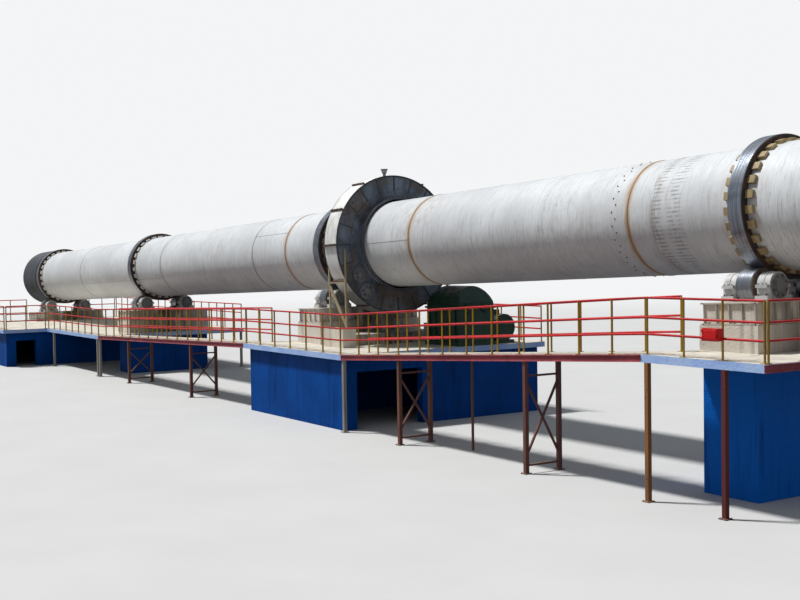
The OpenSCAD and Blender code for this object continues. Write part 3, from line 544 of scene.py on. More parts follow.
# %% Make the finishes and give them to the model's own pieces
looks = {
    # Chalky white, streaked and rust-lined; bright blue-grey treads flash beside it
    "shell": shell_paint(),
    # The tyre's near-black sides are grease and rust, and painted shade
    "tyre": rolled_steel("burnished cast steel tyre", "#858d99", "#c6cdd8", "#3b3133", "#5a4234"),
    "roller": rolled_steel("burnished cast steel roller", "#80868f", "#bcc1c9", "#5b5350", "#7a6a5c"),
    "gear": rolled_steel("greased cast steel gear", "#2d2b2a", "#4a4744", "#252321", "#3a3129"),
    # Retaining blocks: tan at tyre 1, dark with grease at tyre 2, white at the lower tyres
    "block": paint("tan paint on welded steel blocks", ("#b09a70", "#9a8763"), "#5d4028", worn=0.4, chips=0.8,
                   turning=True, places=((-8.0, 9.5, "#4a4038"), (-13.0, 5.0, "#d5d1c8"))),
    # Matt, brownish black where heat has burnt the paint
    "shroud": paint("heat darkened paint on sheet steel", ("#4a4f55", "#3d4247"), "#6a4a33", worn=0.5,
                    chips=0.6, turning=True),
    # Pale castings and whitewashed concrete: their grime makes the bolts and ribs stand out; under the kiln
    # the beds and their frames also darken, as grease and painted shade
    "bearing": paint("pale grey paint on cast iron", ("#d4d5d4", "#bfc0bf"), "#5b5249", worn=0.5, chips=0.9),
    "bed": paint("whitewashed concrete", ("#e4ded3", "#d2cabd"), "#8d857a", worn=0.5, chips=0.7, dusty=0.2,
                 relief=0.003, roughness=(0.7, 0.9), gloss=0.2, grease_and_shade=0.85),
    "frame_white": paint("cream paint on welded steel plate", ("#d6d0c3", "#c3bcae"), "#6a4a33", worn=0.5,
                         chips=0.9, dusty=0.3, grease_and_shade=0.8),
    # Darker grey than the pale housings they close, which is painted shade on their end faces
    "cover": paint("grey paint on cast covers in painted shade", ("#8b8d8c", "#747675"), "#4f4239", worn=0.4, chips=0.8),
    # Deep matt blue with darker runs; round the upper pier the blue is brighter, which is painted light
    "pier": paint("blue masonry paint on concrete", ("#0052aa", "#004796"), "#3463a2", grime="#052e66",
                  worn=0.5, chips=0.35, dusty=0.5, relief=0.0025, roughness=(0.5, 0.75), gloss=0.12,
                  places=((9.3, 1.0, "#0a74e2"),)),
    # Bare pale tops with a line of paint along the edge: dark red on the walkways, and on the decks a light
    # blue that is the edge's blue paint drawn as it looks in full sun, which is painted light
    "deck": top_and_edge("cast concrete with a blue edge in painted light", ("#d9d3c6", "#c7c1b4"), ("#b8d4ff", "#a6c6ff"),
                         "#8fa6de"),
    "walkway": top_and_edge("steel walkway with a painted frame", ("#cfc8ba", "#bab3a5"),
                            ("#9c1b28", "#861722"), "#4a2a22"),
    # The pale pink laid on faces that look up is dust and a painted highlight on the lips
    "channel": paint("dark red paint on a steel channel", ("#b04a56", "#983a46"), "#4a2a26", worn=0.3,
                     chips=0.8, dusty=0.9, dust="#d2b2b4"),
    # Dull primer that makes thin posts recede; some posts were painted another colour
    "post": paint("red-brown primer on steel posts", ("#8a5848", "#774a3d"), "#3f2a20", worn=0.5, chips=0.8,
                  places=((2.6, 0.2, "#b7b2ac"), (8.9, 0.25, "#a06a3c"), (9.9, 0.4, "#6d2a26"),
                          (-14.0, 6.5, "#a9a49c"))),
    # The guard: a pale rim in painted light, dark rusty faces in painted shade, darker strips that draw its
    # panels
    "guard": sheet_lit_rim_shaded_faces("grey paint on sheet steel", ("#f6f6f4", "#e6e6e2"), ("#7c8998", "#55616f")),
    "strip": paint("grimy paint on seam strips", ("#4a4f56", "#393d43"), "#5d4a3a", worn=0.6, chips=0.8),
    "flange": paint("dark red-brown primer on flanges", ("#5a3a36", "#4a2f2d"), "#2f211e", worn=0.4,
                    chips=0.7),
    "frame": paint("tan paint on square tube", ("#b3a684", "#9c8f70"), "#6b4a2f", worn=0.4, chips=0.6),
    "vent": paint("grey paint on a sheet steel vent", ("#7b7f83", "#6a6e72"), "#4d3d30"),
    # Oily enamel, a little shinier than the rest
    "drive": paint("dark green machine enamel", ("#1f4a3a", "#193d30"), "#7a6a4a", grime="#14241d",
                   dusty=0.5, roughness=(0.3, 0.5)),
    # The three clean, strong colours of the railings
    "box": paint("bright red enamel", ("#e01418", "#c91216"), "#6b1c18", worn=0.15, chips=0.3,
                 roughness=(0.3, 0.45)),
    "yellow": paint("yellow paint on steel tube", ("#cba62a", "#b08e22"), "#6e4a24", worn=0.35, chips=0.9),
    "red": paint("red paint on steel rail", ("#d81420", "#c0121d"), "#5d231f", worn=0.25, chips=0.8,
                 dusty=0.1),
    "brick": fire_brick("fire brick lining"),
    # Small rust-coloured parts that give the shell and the frames their scale
    "weld": paint("rusted weld bead", ("#b08a5a", "#96714a"), "#5a3d28", grime="#6b5a48", worn=0.4,
                  chips=0.6, turning=True),
    "seam": paint("dirty seam under white paint", ("#a5a29c", "#8f8b84"), "#5d5248", worn=0.5, chips=0.5,
                  turning=True),
    "stud": paint("rusted studs on the turning shell", ("#8a7a68", "#6f6152"), "#5a3d2b", worn=0.5,
                  chips=0.9, turning=True),
    "bolt": paint("rusted steel bolts", ("#77706a", "#5f5852"), "#5a3d2b", worn=0.5, chips=0.9),
}
LOOK_OF = [
    ("shell_", "shell"), ("brick_", "brick"), ("tyre_blocks", "block"), ("tyre_", "tyre"), ("girth_", "gear"),
    ("cooling_", "shroud"), ("roller_bed", "bed"), ("drive_bed", "bed"), ("roller_", "roller"),
    ("bearings_", "bearing"), ("pier_", "pier"), ("deck_", "deck"), ("walkway_posts", "post"),
    ("walkway_", "walkway"), ("railing_", "yellow"), ("gear_guard", "guard"), ("guard_frame", "frame"),
    ("guard_vent", "vent"), ("gear_reducer", "drive"), ("drive_motor", "drive"), ("hose_box", "box"),
]
for name, node in frame["nodes"].items():
    look = next(look for prefix, look in LOOK_OF if name.startswith(prefix))
    for slot in node.material_slots:
        slot.material = looks[look]
print("materials", len(looks))

# %% [markdown]
# ## Building pieces from points
# The round details are turned like work on a lathe: a profile of places along the kiln and radii is carried
# round an axis. The flat ones are plates, and some of them get slightly broken edges, because a perfectly
# sharp edge never catches the light and looks false. Most are made in the kiln frame and laid aslant at the
# end, and what stands level is made in the world's frame.

# %% Helpers that turn profiles, cut plates and make a piece
SHARP_FROM = math.radians(32)


def lathe(profile, steps=48, centre=(0.0, 0.0), closed=True, wobble=0.0, seed=1):
    """A profile of (s, radius) points turned round an axis parallel to the kiln's."""
    chance = random.Random(seed)
    rows = len(profile)
    points = []
    for k in range(steps):
        angle = 2 * math.pi * k / steps
        sway = chance.uniform(-wobble, wobble)
        for s, radius in profile:
            y, z = radius * math.sin(angle), radius * math.cos(angle)
            points.append((s + sway, centre[0] + y, centre[1] + z))
    faces = []
    for k in range(steps):
        here, there = k * rows, (k + 1) % steps * rows
        for j in range(rows if closed else rows - 1):
            after = (j + 1) % rows
            faces.append((here + j, here + after, there + after, there + j))
    if not closed:
        faces.append([k * rows for k in range(steps)])
        faces.append([k * rows + rows - 1 for k in range(steps)])
    return points, faces


def ring(s0, s1, inner, outer, steps=48, centre=(0.0, 0.0)):
    """A flat ring between two places along the kiln."""
    s0, s1 = sorted((s0, s1))
    return lathe([(s0, inner), (s1, inner), (s1, outer), (s0, outer)], steps, centre)


def plate(corner, opposite):
    """A box between two opposite corners."""
    xs, ys, zs = (sorted(pair) for pair in zip(corner, opposite))
    points = [(x, y, z) for x in xs for y in ys for z in zs]
    return points, [(0, 1, 3, 2), (4, 6, 7, 5), (0, 4, 5, 1), (2, 3, 7, 6), (0, 2, 6, 4), (1, 5, 7, 3)]


def turned(chunk, angle, centre=(0.0, 0.0)):
    """A chunk turned by an angle from the top, towards +Y, and moved out to the centre of its own axis."""
    turn = Matrix.Rotation(-angle, 3, "X")
    return [tuple(turn @ Vector(point) + Vector((0, *centre))) for point in chunk[0]], chunk[1]


def round_angles(count, phase=0.0):
    """Angles at even steps round a circle."""
    return [2 * math.pi * (k + phase) / count for k in range(count)]


def make_piece(name, chunks, look, body, place=KILN, soften=0.0):
    """Joins chunks into one piece with outward faces, rides it on a body and gives it its finish."""
    points, faces = [], []
    for chunk_points, chunk_faces in chunks:
        first = len(points)
        points += [place @ Vector(point) for point in chunk_points]
        faces += [[first + i for i in face] for face in chunk_faces]
    mesh = bpy.data.meshes.new(name)
    mesh.from_pydata(points, [], faces)
    work = bmesh.new()
    work.from_mesh(mesh)
    bmesh.ops.recalc_face_normals(work, faces=work.faces)
    if soften:
        bmesh.ops.bevel(work, geom=work.edges[:], offset=soften, segments=1, affect="EDGES")
    work.to_mesh(mesh)
    work.free()
    mesh.polygons.foreach_set("use_smooth", [True] * len(mesh.polygons))
    mesh.set_sharp_from_angle(angle=SHARP_FROM)
    mesh.materials.append(looks[look])
    piece = bpy.data.objects.new(name.replace(" ", "_"), mesh)
    scene.collection.objects.link(piece)
    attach(piece, body)
    print(name, len(mesh.polygons), "faces")


# %% [markdown]
# ## Bolts
# Bolts are many and alike, so they are grown with Geometry Nodes: a mesh of loose points says where each bolt
# sits, and two attributes say which way it looks and how wide it is. The tree puts a washer, a hexagonal nut
# and the end of the stud on every point. The result is read back as a plain mesh.

# %% The bolt tree
def new_tree(name, sockets):
    """A Geometry Nodes tree with named inputs; gives the tree and its inputs."""
    tree = bpy.data.node_groups.new(name, "GeometryNodeTree")
    tree.interface.new_socket("Geometry", in_out="INPUT", socket_type="NodeSocketGeometry")
    for label, kind in sockets:
        tree.interface.new_socket(label, in_out="INPUT", socket_type=kind)
    tree.interface.new_socket("Geometry", in_out="OUTPUT", socket_type="NodeSocketGeometry")
    return tree, add(tree, "NodeGroupInput").outputs


def joined(tree, geometries):
    """Several geometries in one."""
    join = add(tree, "GeometryNodeJoinGeometry")
    for geometry in geometries:
        tree.links.new(geometry, join.inputs[0])
    return join.outputs[0]


def drum(tree, sides, radius, low, high):
    """A prism that stands on its centre line from low to high."""
    body = add(tree, "GeometryNodeMeshCylinder", {"Vertices": sides, "Radius": radius, "Depth": high - low})
    return add(tree, "GeometryNodeTransform", {"Geometry": body.outputs["Mesh"],
                                               "Translation": (0, 0, (low + high) / 2)}).outputs[0]


# Sides, radius, foot and top of washer, nut and stud, as shares of the bolt's width
BOLT_PARTS = ((10, 0.95, 0.0, 0.16), (6, 0.58, 0.1, 0.75), (8, 0.30, 0.6, 1.05))

tree, given = new_tree("bolts on marked points", [("Steel", "NodeSocketMaterial")])
bolt = joined(tree, [drum(tree, *part) for part in BOLT_PARTS])
aim = add(tree, "GeometryNodeInputNamedAttribute", {"Name": "aim"}, data_type="FLOAT_VECTOR")
width = add(tree, "GeometryNodeInputNamedAttribute", {"Name": "width"}, data_type="FLOAT")
turn = add(tree, "FunctionNodeAlignRotationToVector", {"Vector": aim.outputs[0]}, axis="Z")
placed = add(tree, "GeometryNodeInstanceOnPoints", {
    "Points": given["Geometry"], "Instance": bolt, "Rotation": turn.outputs[0], "Scale": width.outputs[0]})
real = add(tree, "GeometryNodeRealizeInstances", {"Geometry": placed.outputs[0]})
steel = add(tree, "GeometryNodeSetMaterial", {"Geometry": real.outputs[0], "Material": given["Steel"]})
add(tree, "NodeGroupOutput", {"Geometry": steel.outputs[0]})
bolt_tree = tree
print("bolt tree", len(tree.nodes), "nodes")

# %% [markdown]
# ## Noting bolts and growing pieces
# The cells below only note where bolts go. All bolts of one body and finish are grown together at the end,
# because one mesh per body is lighter than hundreds of small ones. Many bolts stand in rings round a cover or
# at the corners of a foot plate, so both have a helper.

# %% Helpers that grow a tree, note bolts and set foot plates
PLATE_HALF = 0.05
ANCHOR_W = 0.010
bolt_marks = {}


def grown(name, mesh, tree, settings, body):
    """Runs a tree over a mesh and keeps what it makes as a plain mesh."""
    piece = bpy.data.objects.new(name.replace(" ", "_"), mesh)
    scene.collection.objects.link(piece)
    modifier = piece.modifiers.new("nodes", "NODES")
    modifier.node_group = tree
    for item in tree.interface.items_tree:
        if item.name in settings and item.in_out == "INPUT":
            modifier[item.identifier] = settings[item.name]
    graph = bpy.context.evaluated_depsgraph_get()
    result = bpy.data.meshes.new_from_object(piece.evaluated_get(graph))
    piece.modifiers.clear()
    piece.data = result
    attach(piece, body)
    print(name, len(result.polygons), "faces")
    return piece


def bolt_at(slot_name, point, aim, width, place=KILN, body="structure", look="bolt"):
    """Notes one bolt that looks along aim."""
    mark = (place @ Vector(point), place.to_3x3() @ Vector(aim), width)
    bolt_marks.setdefault((body, slot_name, look), []).append(mark)


def bolt_ring(slot_name, s, centre, radius, count, out, width, phase=0.0, place=KILN, look="bolt"):
    """Notes a ring of bolts that look up the kiln (out is 1) or down (out is -1)."""
    for angle in round_angles(count, phase):
        point = (s, centre[0] + radius * math.sin(angle), centre[1] + radius * math.cos(angle))
        bolt_at(slot_name, point, (out, 0, 0), width, place, look=look)


def foot_plate(slot_name, foot, base, thickness, bolt_reach):
    """A square plate under a post, with an anchor bolt at each corner."""
    for dx in (-bolt_reach, bolt_reach):
        for dy in (-bolt_reach, bolt_reach):
            bolt_at(slot_name, (foot.x + dx, foot.y + dy, base + thickness), UP, ANCHOR_W, WORLD)
    return plate((foot.x - PLATE_HALF, foot.y - PLATE_HALF, base),
                 (foot.x + PLATE_HALF, foot.y + PLATE_HALF, base + thickness))


# %% [markdown]
# ## Railings
# A railing is posts at even distances with three rails through them. The model's own railings tell where each
# post stands: its foot is a small square face that looks down. The tree sets an angle iron with a foot plate
# on every such point and draws three rails along the lines between them, so the posts can be yellow and the
# rails red, as on the real walkway.

# %% The railing tree
RAIL_POST = 0.026
RAIL_H = 0.6
RAIL_D = 0.026
RAIL_SHARES = (0.355, 0.645, 0.985)
IRON = 0.22


def slab(tree, size, middle, scale):
    """A box of given size round a middle point, both times a scale."""
    cube = add(tree, "GeometryNodeMeshCube", {"Size": size})
    moved = add(tree, "GeometryNodeTransform", {"Geometry": cube.outputs["Mesh"], "Translation": middle})
    return add(tree, "GeometryNodeTransform", {"Geometry": moved.outputs[0], "Scale": scale}).outputs[0]


tree, given = new_tree("railing of posts and three rails", [
    ("Post width", "NodeSocketFloat"), ("Rail width", "NodeSocketFloat"), ("Height", "NodeSocketFloat"),
    ("Post paint", "NodeSocketMaterial"), ("Rail paint", "NodeSocketMaterial")])
wide, high = given["Post width"], given["Height"]
post_scale = add(tree, "ShaderNodeCombineXYZ", {0: wide, 1: wide, 2: high}).outputs[0]
foot_scale = add(tree, "ShaderNodeCombineXYZ", {0: wide, 1: wide, 2: wide}).outputs[0]
post = joined(tree, [
    slab(tree, (1.0, IRON, 1.0), (0, 0.5 - IRON / 2, 0.5), post_scale),
    slab(tree, (IRON, 1.0, 1.0), (0.5 - IRON / 2, 0, 0.5), post_scale),
    slab(tree, (2.0, 1.9, 0.25), (0, 0, 0.125), foot_scale)])
posts = add(tree, "GeometryNodeInstanceOnPoints", {"Points": given["Geometry"], "Instance": post}).outputs[0]
radius = add(tree, "ShaderNodeMath", {0: given["Rail width"], 1: 0.5}, operation="MULTIPLY").outputs[0]
section = add(tree, "GeometryNodeCurvePrimitiveCircle", {"Resolution": 10, "Radius": radius}).outputs[0]
rails = []
for share in RAIL_SHARES:
    level = add(tree, "ShaderNodeMath", {0: high, 1: share}, operation="MULTIPLY").outputs[0]
    lift = add(tree, "ShaderNodeCombineXYZ", {2: level}).outputs[0]
    raised = add(tree, "GeometryNodeSetPosition", {"Geometry": given["Geometry"], "Offset": lift}).outputs[0]
    line = add(tree, "GeometryNodeMeshToCurve", {"Mesh": raised}).outputs[0]
    rails.append(add(tree, "GeometryNodeCurveToMesh", {
        "Curve": line, "Profile Curve": section, "Fill Caps": True}).outputs[0])
parts = []
for geometry, label in ((posts, "Post paint"), (joined(tree, rails), "Rail paint")):
    parts.append(add(tree, "GeometryNodeSetMaterial", {
        "Geometry": geometry, "Material": given[label]}).outputs[0])
real = add(tree, "GeometryNodeRealizeInstances", {"Geometry": joined(tree, parts)})
add(tree, "NodeGroupOutput", {"Geometry": real.outputs[0]})
railing_tree = tree
print("railing tree", len(tree.nodes), "nodes")

# %% [markdown]
# ### Posts and bays
# Two posts belong to one bay when they stand on one line, nearer than the longest bay. Each grown railing
# takes the place of the model's plain one, which is then hidden.

# %% Find the posts and grow the railings
LONGEST_BAY = 0.6
SHORTEST_BAY = 0.2
ON_LINE = 0.005


def feet(node, size):
    """Centres of the square faces of one size that look down, which are the feet of the posts."""
    mesh = frame["nodes"][node].data
    mesh.calc_loop_triangles()
    found = {}
    for triangle in mesh.loop_triangles:
        corners = [mesh.vertices[i].co for i in triangle.vertices]
        pairs = sorted(((corners[i], corners[(i + 1) % 3]) for i in range(3)),
                       key=lambda pair: (pair[0] - pair[1]).length)
        legs = [(a - b).length for a, b in pairs[:2]]
        if triangle.normal.z <= -0.99 and all(abs(leg / size - 1) <= 0.02 for leg in legs):
            centre = (pairs[2][0] + pairs[2][1]) / 2
            found[tuple(round(value, 3) for value in centre)] = centre
    return sorted(found.values(), key=lambda p: (p.x, p.y))


for node in ("railing_near", "railing_inner", "railing_far", "railing_ends"):
    found = feet(node, RAIL_POST)
    bays = []
    for i, a in enumerate(found):
        for j, b in enumerate(found):
            step = b - a
            along_x = abs(step.y) < ON_LINE and SHORTEST_BAY < step.x < LONGEST_BAY
            along_y = abs(step.x) < ON_LINE and SHORTEST_BAY < step.y < LONGEST_BAY
            if along_x or along_y:
                bays.append((i, j))
    lines = bpy.data.meshes.new(node + " lines")
    lines.from_pydata(found, bays, [])
    settings = {"Post width": RAIL_POST, "Rail width": RAIL_D, "Height": RAIL_H,
                "Post paint": looks["yellow"], "Rail paint": looks["red"]}
    piece = grown(node + " of posts and rails", lines, railing_tree, settings, "structure")
    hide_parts(node)
    print(node, len(found), "posts", len(bays), "bays")

# %% [markdown]
# ## Welds and seams of the shell
# The shell comes to the site in sections and is welded round. Each field weld is a low, uneven bead, rust-tan
# where the paint has burnt off. Plate seams inside a section are thinner. A bead is turned as a small ring
# whose place along the kiln sways a little from one step to the next, as a hand weld does. Each section is a
# plate rolled up and welded along; neighbouring sections have this long seam at other angles.

# %% Weld beads, plate seams and long seams
BEAD_W = 0.016
BEAD_H = 0.005
BEAD_STEPS = 180
SINK = 0.004
LONG_W = 0.007
LONG_H = 0.0022
# Where each long seam starts and ends, and its angle from the top in degrees
LONG_SEAMS = [(1.50, 2.74, -90), (2.76, 4.34, 150), (4.36, 5.89, 35), (5.91, 7.20, 125), (7.49, 8.90, 70),
              (-2.66, -1.32, -60), (-7.37, -2.68, 115), (-12.9, -7.39, -115)]


def bead(s, width, height, sway):
    """A low ring on the shell with a rounded top."""
    shoulder, top = SHELL_R + height * 0.3, SHELL_R + height
    profile = [(s - width / 2, SHELL_R - SINK), (s - width / 2, shoulder), (s - width / 4, top),
               (s + width / 4, top), (s + width / 2, shoulder), (s + width / 2, SHELL_R - SINK)]
    return lathe(profile, BEAD_STEPS, wobble=sway, seed=int(1000 * abs(s)))


for name, places, width_share, height_share, sway, look in (
        ("field welds round the shell", WELDS, 1.0, 1.0, 0.002, "weld"),
        ("plate seams round the shell", SEAMS, 0.8, 0.6, 0.001, "seam"),
        ("painted seams round the shell", PAINTED_SEAMS, 0.4, 0.4, 0.0008, "shell")):
    beads = [bead(s, BEAD_W * width_share, BEAD_H * height_share, sway) for s in places]
    make_piece(name, beads, look, "kiln")
long_seams = []
for s0, s1, degrees in LONG_SEAMS:
    strip = plate((s0, -LONG_W / 2, SHELL_R - 0.003), (s1, LONG_W / 2, SHELL_R + LONG_H))
    long_seams.append(turned(strip, math.radians(degrees)))
make_piece("long seams of the shell plates", long_seams, "seam", "kiln")

# %% [markdown]
# ### Studs
# Beside the upper weld two rows of short studs stand out of the shell, where something was once bolted on.
# They are bolts like the others, but they look outwards and turn with the kiln.

# %% Studs beside the upper weld
STUD_ROWS = (7.215, 7.275)
STUDS = 52
STUD_W = 0.012
for k, angle in enumerate(round_angles(STUDS)):
    out = (0, math.sin(angle), math.cos(angle))
    point = (STUD_ROWS[k % 2], SHELL_R * out[1], SHELL_R * out[2])
    bolt_at("shell_paint", point, out, STUD_W, body="kiln", look="stud")
print(STUDS, "studs")

# %% [markdown]
# ## The gear guard
# The guard is a ring of sheet steel panels bolted edge to edge. Its rim carries cross flanges where the
# panels meet, its faces show a raised seam at each joint, and a collar with a ring of bolts closes it round
# the shell. The two halves are bolted together at the sides by broader flanges.

# %% Rim flanges, face seams and collar of the guard
GUARD_AT = sum(span("gear_guard_lower")) / 2
GUARD_OUT = 1.139
GUARD_HALF = 0.188
COLLAR_R = 0.874
COLLAR_FACE = GUARD_HALF + 0.012
COLLAR_BOLTS_R = 0.845
COLLAR_BOLTS = 40
SLEEVE_L = 0.170
SLEEVE_R = 0.746
PANELS = 20
SEAM_HALF = 0.011
SEAM_UP = 0.007
HOOP_W = 0.026
HOOP_UP = 0.010
MOUTH_UP = 0.018
JOINTS = [math.radians(a) for a in (-150, -120, -60, -30, 30, 60, 120, 150)]
FLANGE_H = 0.030
FLANGE_T = 0.011
FLANGE_BOLT_STEP = 0.08
SPLIT_BOLT_STEP = 0.064
SPLIT_BOLT_OUT = 0.022
SPLIT_REACH = 0.0415
SPLIT_HALF = 0.0135
SKIN = 0.0015

seams, flanges = [], []
for side in (-1, 1):
    face = GUARD_AT + side * GUARD_HALF
    for angle in round_angles(PANELS):
        strip = plate((face - side * SINK, -SEAM_HALF, COLLAR_R - SINK),
                      (face + side * SEAM_UP, SEAM_HALF, GUARD_OUT - 0.012))
        seams.append(turned(strip, angle))
    seams.append(ring(face - side * SINK, face + side * HOOP_UP, GUARD_OUT - HOOP_W, GUARD_OUT + 0.001, 120))
    mouth = face + side * SLEEVE_L
    seams.append(ring(mouth - side * 0.010, mouth - side * 0.001, SLEEVE_R - 0.002, SLEEVE_R + MOUTH_UP, 96))
    collar = GUARD_AT + side * COLLAR_FACE
    bolt_ring("guard_sheet", collar, (0, 0), COLLAR_BOLTS_R, COLLAR_BOLTS, side, 0.012)
    for angle in JOINTS:
        turn = Matrix.Rotation(-angle, 3, "X")
        leaf = plate((GUARD_AT - GUARD_HALF, side * 0.001, GUARD_OUT - 0.006),
                     (GUARD_AT + GUARD_HALF, side * FLANGE_T, GUARD_OUT + FLANGE_H))
        flanges.append(turned(leaf, angle))
        for k in range(-2, 3):
            place_s = GUARD_AT + k * FLANGE_BOLT_STEP
            point = Vector((place_s, side * FLANGE_T, GUARD_OUT + FLANGE_H * 0.55))
            bolt_at("guard_sheet", turn @ point, turn @ Vector((0, side, 0)), FLANGE_T)
    flanges.append(plate((GUARD_AT - GUARD_HALF - SKIN, side * (GUARD_OUT - SKIN), -SPLIT_HALF),
                         (GUARD_AT + GUARD_HALF + SKIN, side * (GUARD_OUT + SPLIT_REACH), SPLIT_HALF)))
    for k in range(6):
        point = (GUARD_AT + (k - 2.5) * SPLIT_BOLT_STEP, side * (GUARD_OUT + SPLIT_BOLT_OUT), 0.012)
        bolt_at("guard_sheet", point, UP, 0.013)
make_piece("panel seams of the guard", seams, "strip", "structure")
make_piece("cross flanges of the guard", flanges, "flange", "structure", soften=0.0015)

# %% [markdown]
# ### Round covers
# Two round covers on the lower half of the guard give access to the gear. Each has a bolted rim, a hub and
# six arms. An arm is one plate, turned round the kiln's axis and then moved out to the cover's own centre.

# %% Rims, hubs, arms and bolts of the covers
PORTS = [(-0.72, -0.48), (-0.60, -0.76)]
PORT_R = 0.125
PORT_FACE = GUARD_AT + GUARD_HALF + 0.030
PORT_ARMS = 6
PORT_BOLTS = 12
ARM_HALF = 0.008
HUB = [(PORT_FACE - SINK, 0.05), (PORT_FACE + 0.012, 0.05), (PORT_FACE + 0.016, 0.03)]
covers = []
for centre in PORTS:
    covers.append(ring(PORT_FACE - SINK, PORT_FACE + 0.006, PORT_R - 0.022, PORT_R + 0.004, 48, centre))
    covers.append(lathe(HUB, 32, centre, closed=False))
    for angle in round_angles(PORT_ARMS, 0.25):
        arm = plate((PORT_FACE - 0.003, -ARM_HALF, 0.045), (PORT_FACE + 0.009, ARM_HALF, PORT_R - 0.018))
        covers.append(turned(arm, angle, centre))
    bolt_ring("guard_sheet", PORT_FACE + 0.006, centre, PORT_R - 0.010, PORT_BOLTS, 1, 0.011)
make_piece("ribs of the round covers", covers, "cover", "structure")

# %% [markdown]
# ## Bearings
# Each roller turns in two round housings. A housing is split at shaft height, with bolted flanges on both
# sides, closed outwards by a bolted cover with a raised middle, and held on its bed by four foot bolts.

# %% Covers, seals, flanges and bolts of the bearings
HOUSING_R = 0.15
HOUSING_L = 0.170
SHAFT_HOLE_R = 0.07
COVER_R = 0.132
COVER_T = 0.012
COVER_BOLTS_R = 0.108
SEAL_R = 0.105
SPLIT_L = 0.078
LUG = 0.034
LUG_T = 0.017
BOLT_STEP = 0.052
FOOT_BOLT_Y = 0.172
FOOT_TOP = 0.06
BED_TOP = -1.0168
caps, splits, seals = [], [], []
for i in (1, 2, 3, 4):
    start_s, end_s = span(f"bearings_{i}")
    for label in ("near", "far"):
        pin = TO_KILN @ Vector(joints[f"roller_{i}_{label}_spin"]["pos_m"])
        centre = (pin.y, pin.z)
        for out, face in ((-1, start_s), (1, end_s)):
            caps.append(ring(face - out * SINK, face + out * COVER_T, SHAFT_HOLE_R, COVER_R, 40, centre))
            raised = [(face - out * SINK, 0.074), (face + out * 0.020, 0.074), (face + out * 0.026, 0.062)]
            caps.append(lathe(raised, 40, centre, closed=False))
            bolt_ring("bearing_paint", face + out * COVER_T, centre, COVER_BOLTS_R, 8, out, 0.016, 0.5)
            inner = face - out * HOUSING_L
            seals.append(ring(inner + out * SINK, inner - out * COVER_T, 0.072, SEAL_R, 40, centre))
            middle = face - out * HOUSING_L / 2
            splits.append(ring(middle - 0.006, middle + 0.006, HOUSING_R - 0.004, HOUSING_R + 0.006, 48,
                               centre))
            for side in (-1, 1):
                y_in, y_out = pin.y + side * (HOUSING_R - 0.012), pin.y + side * (HOUSING_R + LUG)
                for up in (-1, 1):
                    splits.append(plate((middle - SPLIT_L, y_in, pin.z + up * 0.001),
                                        (middle + SPLIT_L, y_out, pin.z + up * LUG_T)))
                for k in (-1, 0, 1):
                    y = pin.y + side * (HOUSING_R + LUG / 2)
                    bolt_at("bearing_paint", (middle + k * BOLT_STEP, y, pin.z + LUG_T), UP, 0.014)
                for k in (-1, 1):
                    y = pin.y + side * FOOT_BOLT_Y
                    bolt_at("bearing_paint", (middle + k * BOLT_STEP, y, BED_TOP + FOOT_TOP), UP, 0.020)
make_piece("covers of the bearings", caps, "cover", "structure")
make_piece("seals of the bearings", seals, "flange", "structure")
make_piece("split flanges of the bearings", splits, "bearing", "structure")

# %% [markdown]
# ## Roller beds
# Under each pair of rollers lies a steel frame on the concrete: a top and a bottom flange run round it, with
# upright ribs between them and a foot bolt beside each rib.

# %% The steel frames of the roller beds
BED_HALF_L = 0.365
BED_HALF_W = 0.96
BED_SHIFT = 0.05
FRAME_H = 0.24
FRAME_RAISED = (0.004, 0.004, 0.004, 0.026)
SHEET_T = 0.014
RIB_T = 0.010
LEDGE = 0.027
EDGE_IN = 0.02
RIB_PITCH = 0.174
RIB_BACK = 0.004
RIB_IN = 0.01
FRAME_BOLT = 0.016
frames = []
for tyre, raised in zip(TYRES, FRAME_RAISED):
    mid = tyre + BED_SHIFT
    top, bottom = BED_TOP - 0.002, BED_TOP - FRAME_H + raised
    for side in (-1, 1):
        s_in, s_out = mid + side * (BED_HALF_L - EDGE_IN), mid + side * (BED_HALF_L + LEDGE)
        y_in, y_out = side * (BED_HALF_W - EDGE_IN), side * (BED_HALF_W + LEDGE)
        for low_z in (top - SHEET_T, bottom):
            high_z = low_z + SHEET_T
            frames.append(plate((s_in, -BED_HALF_W - LEDGE, low_z), (s_out, BED_HALF_W + LEDGE, high_z)))
            frames.append(plate((mid - BED_HALF_L, y_in, low_z), (mid + BED_HALF_L, y_out, high_z)))
        rib_low, rib_high = bottom + RIB_IN, top - RIB_IN
        for k in range(-5, 6):
            y = k * RIB_PITCH
            frames.append(plate((s_in, y - RIB_T / 2, rib_low),
                                (s_out - side * RIB_BACK, y + RIB_T / 2, rib_high)))
            point = (mid + side * (BED_HALF_L + FRAME_BOLT), y + 0.07, bottom + SHEET_T)
            bolt_at("bed_concrete", point, UP, FRAME_BOLT)
        for k in range(-2, 3):
            s = mid + k * RIB_PITCH
            frames.append(plate((s - RIB_T / 2, y_in, rib_low),
                                (s + RIB_T / 2, y_out - side * RIB_BACK, rib_high)))
            point = (s + 0.07, side * (BED_HALF_W + FRAME_BOLT), bottom + SHEET_T)
            bolt_at("bed_concrete", point, UP, FRAME_BOLT)
make_piece("steel frames of the roller beds", frames, "frame_white", "structure")

# %% [markdown]
# ## Channels and foot plates
# The walkways hang between two steel channels, painted dark red, whose lips catch the light. Deck 1 has the
# same channel on its uphill edge. Every support post that stands on the ground gets a small foot plate with
# four anchor bolts.

# %% Channels along the walkways and plates under the posts
LIP = 0.022
LIP_T = 0.006
BEHIND = 0.003
DROP = 0.008
POST_W = 0.05
FOOT_T = 0.008


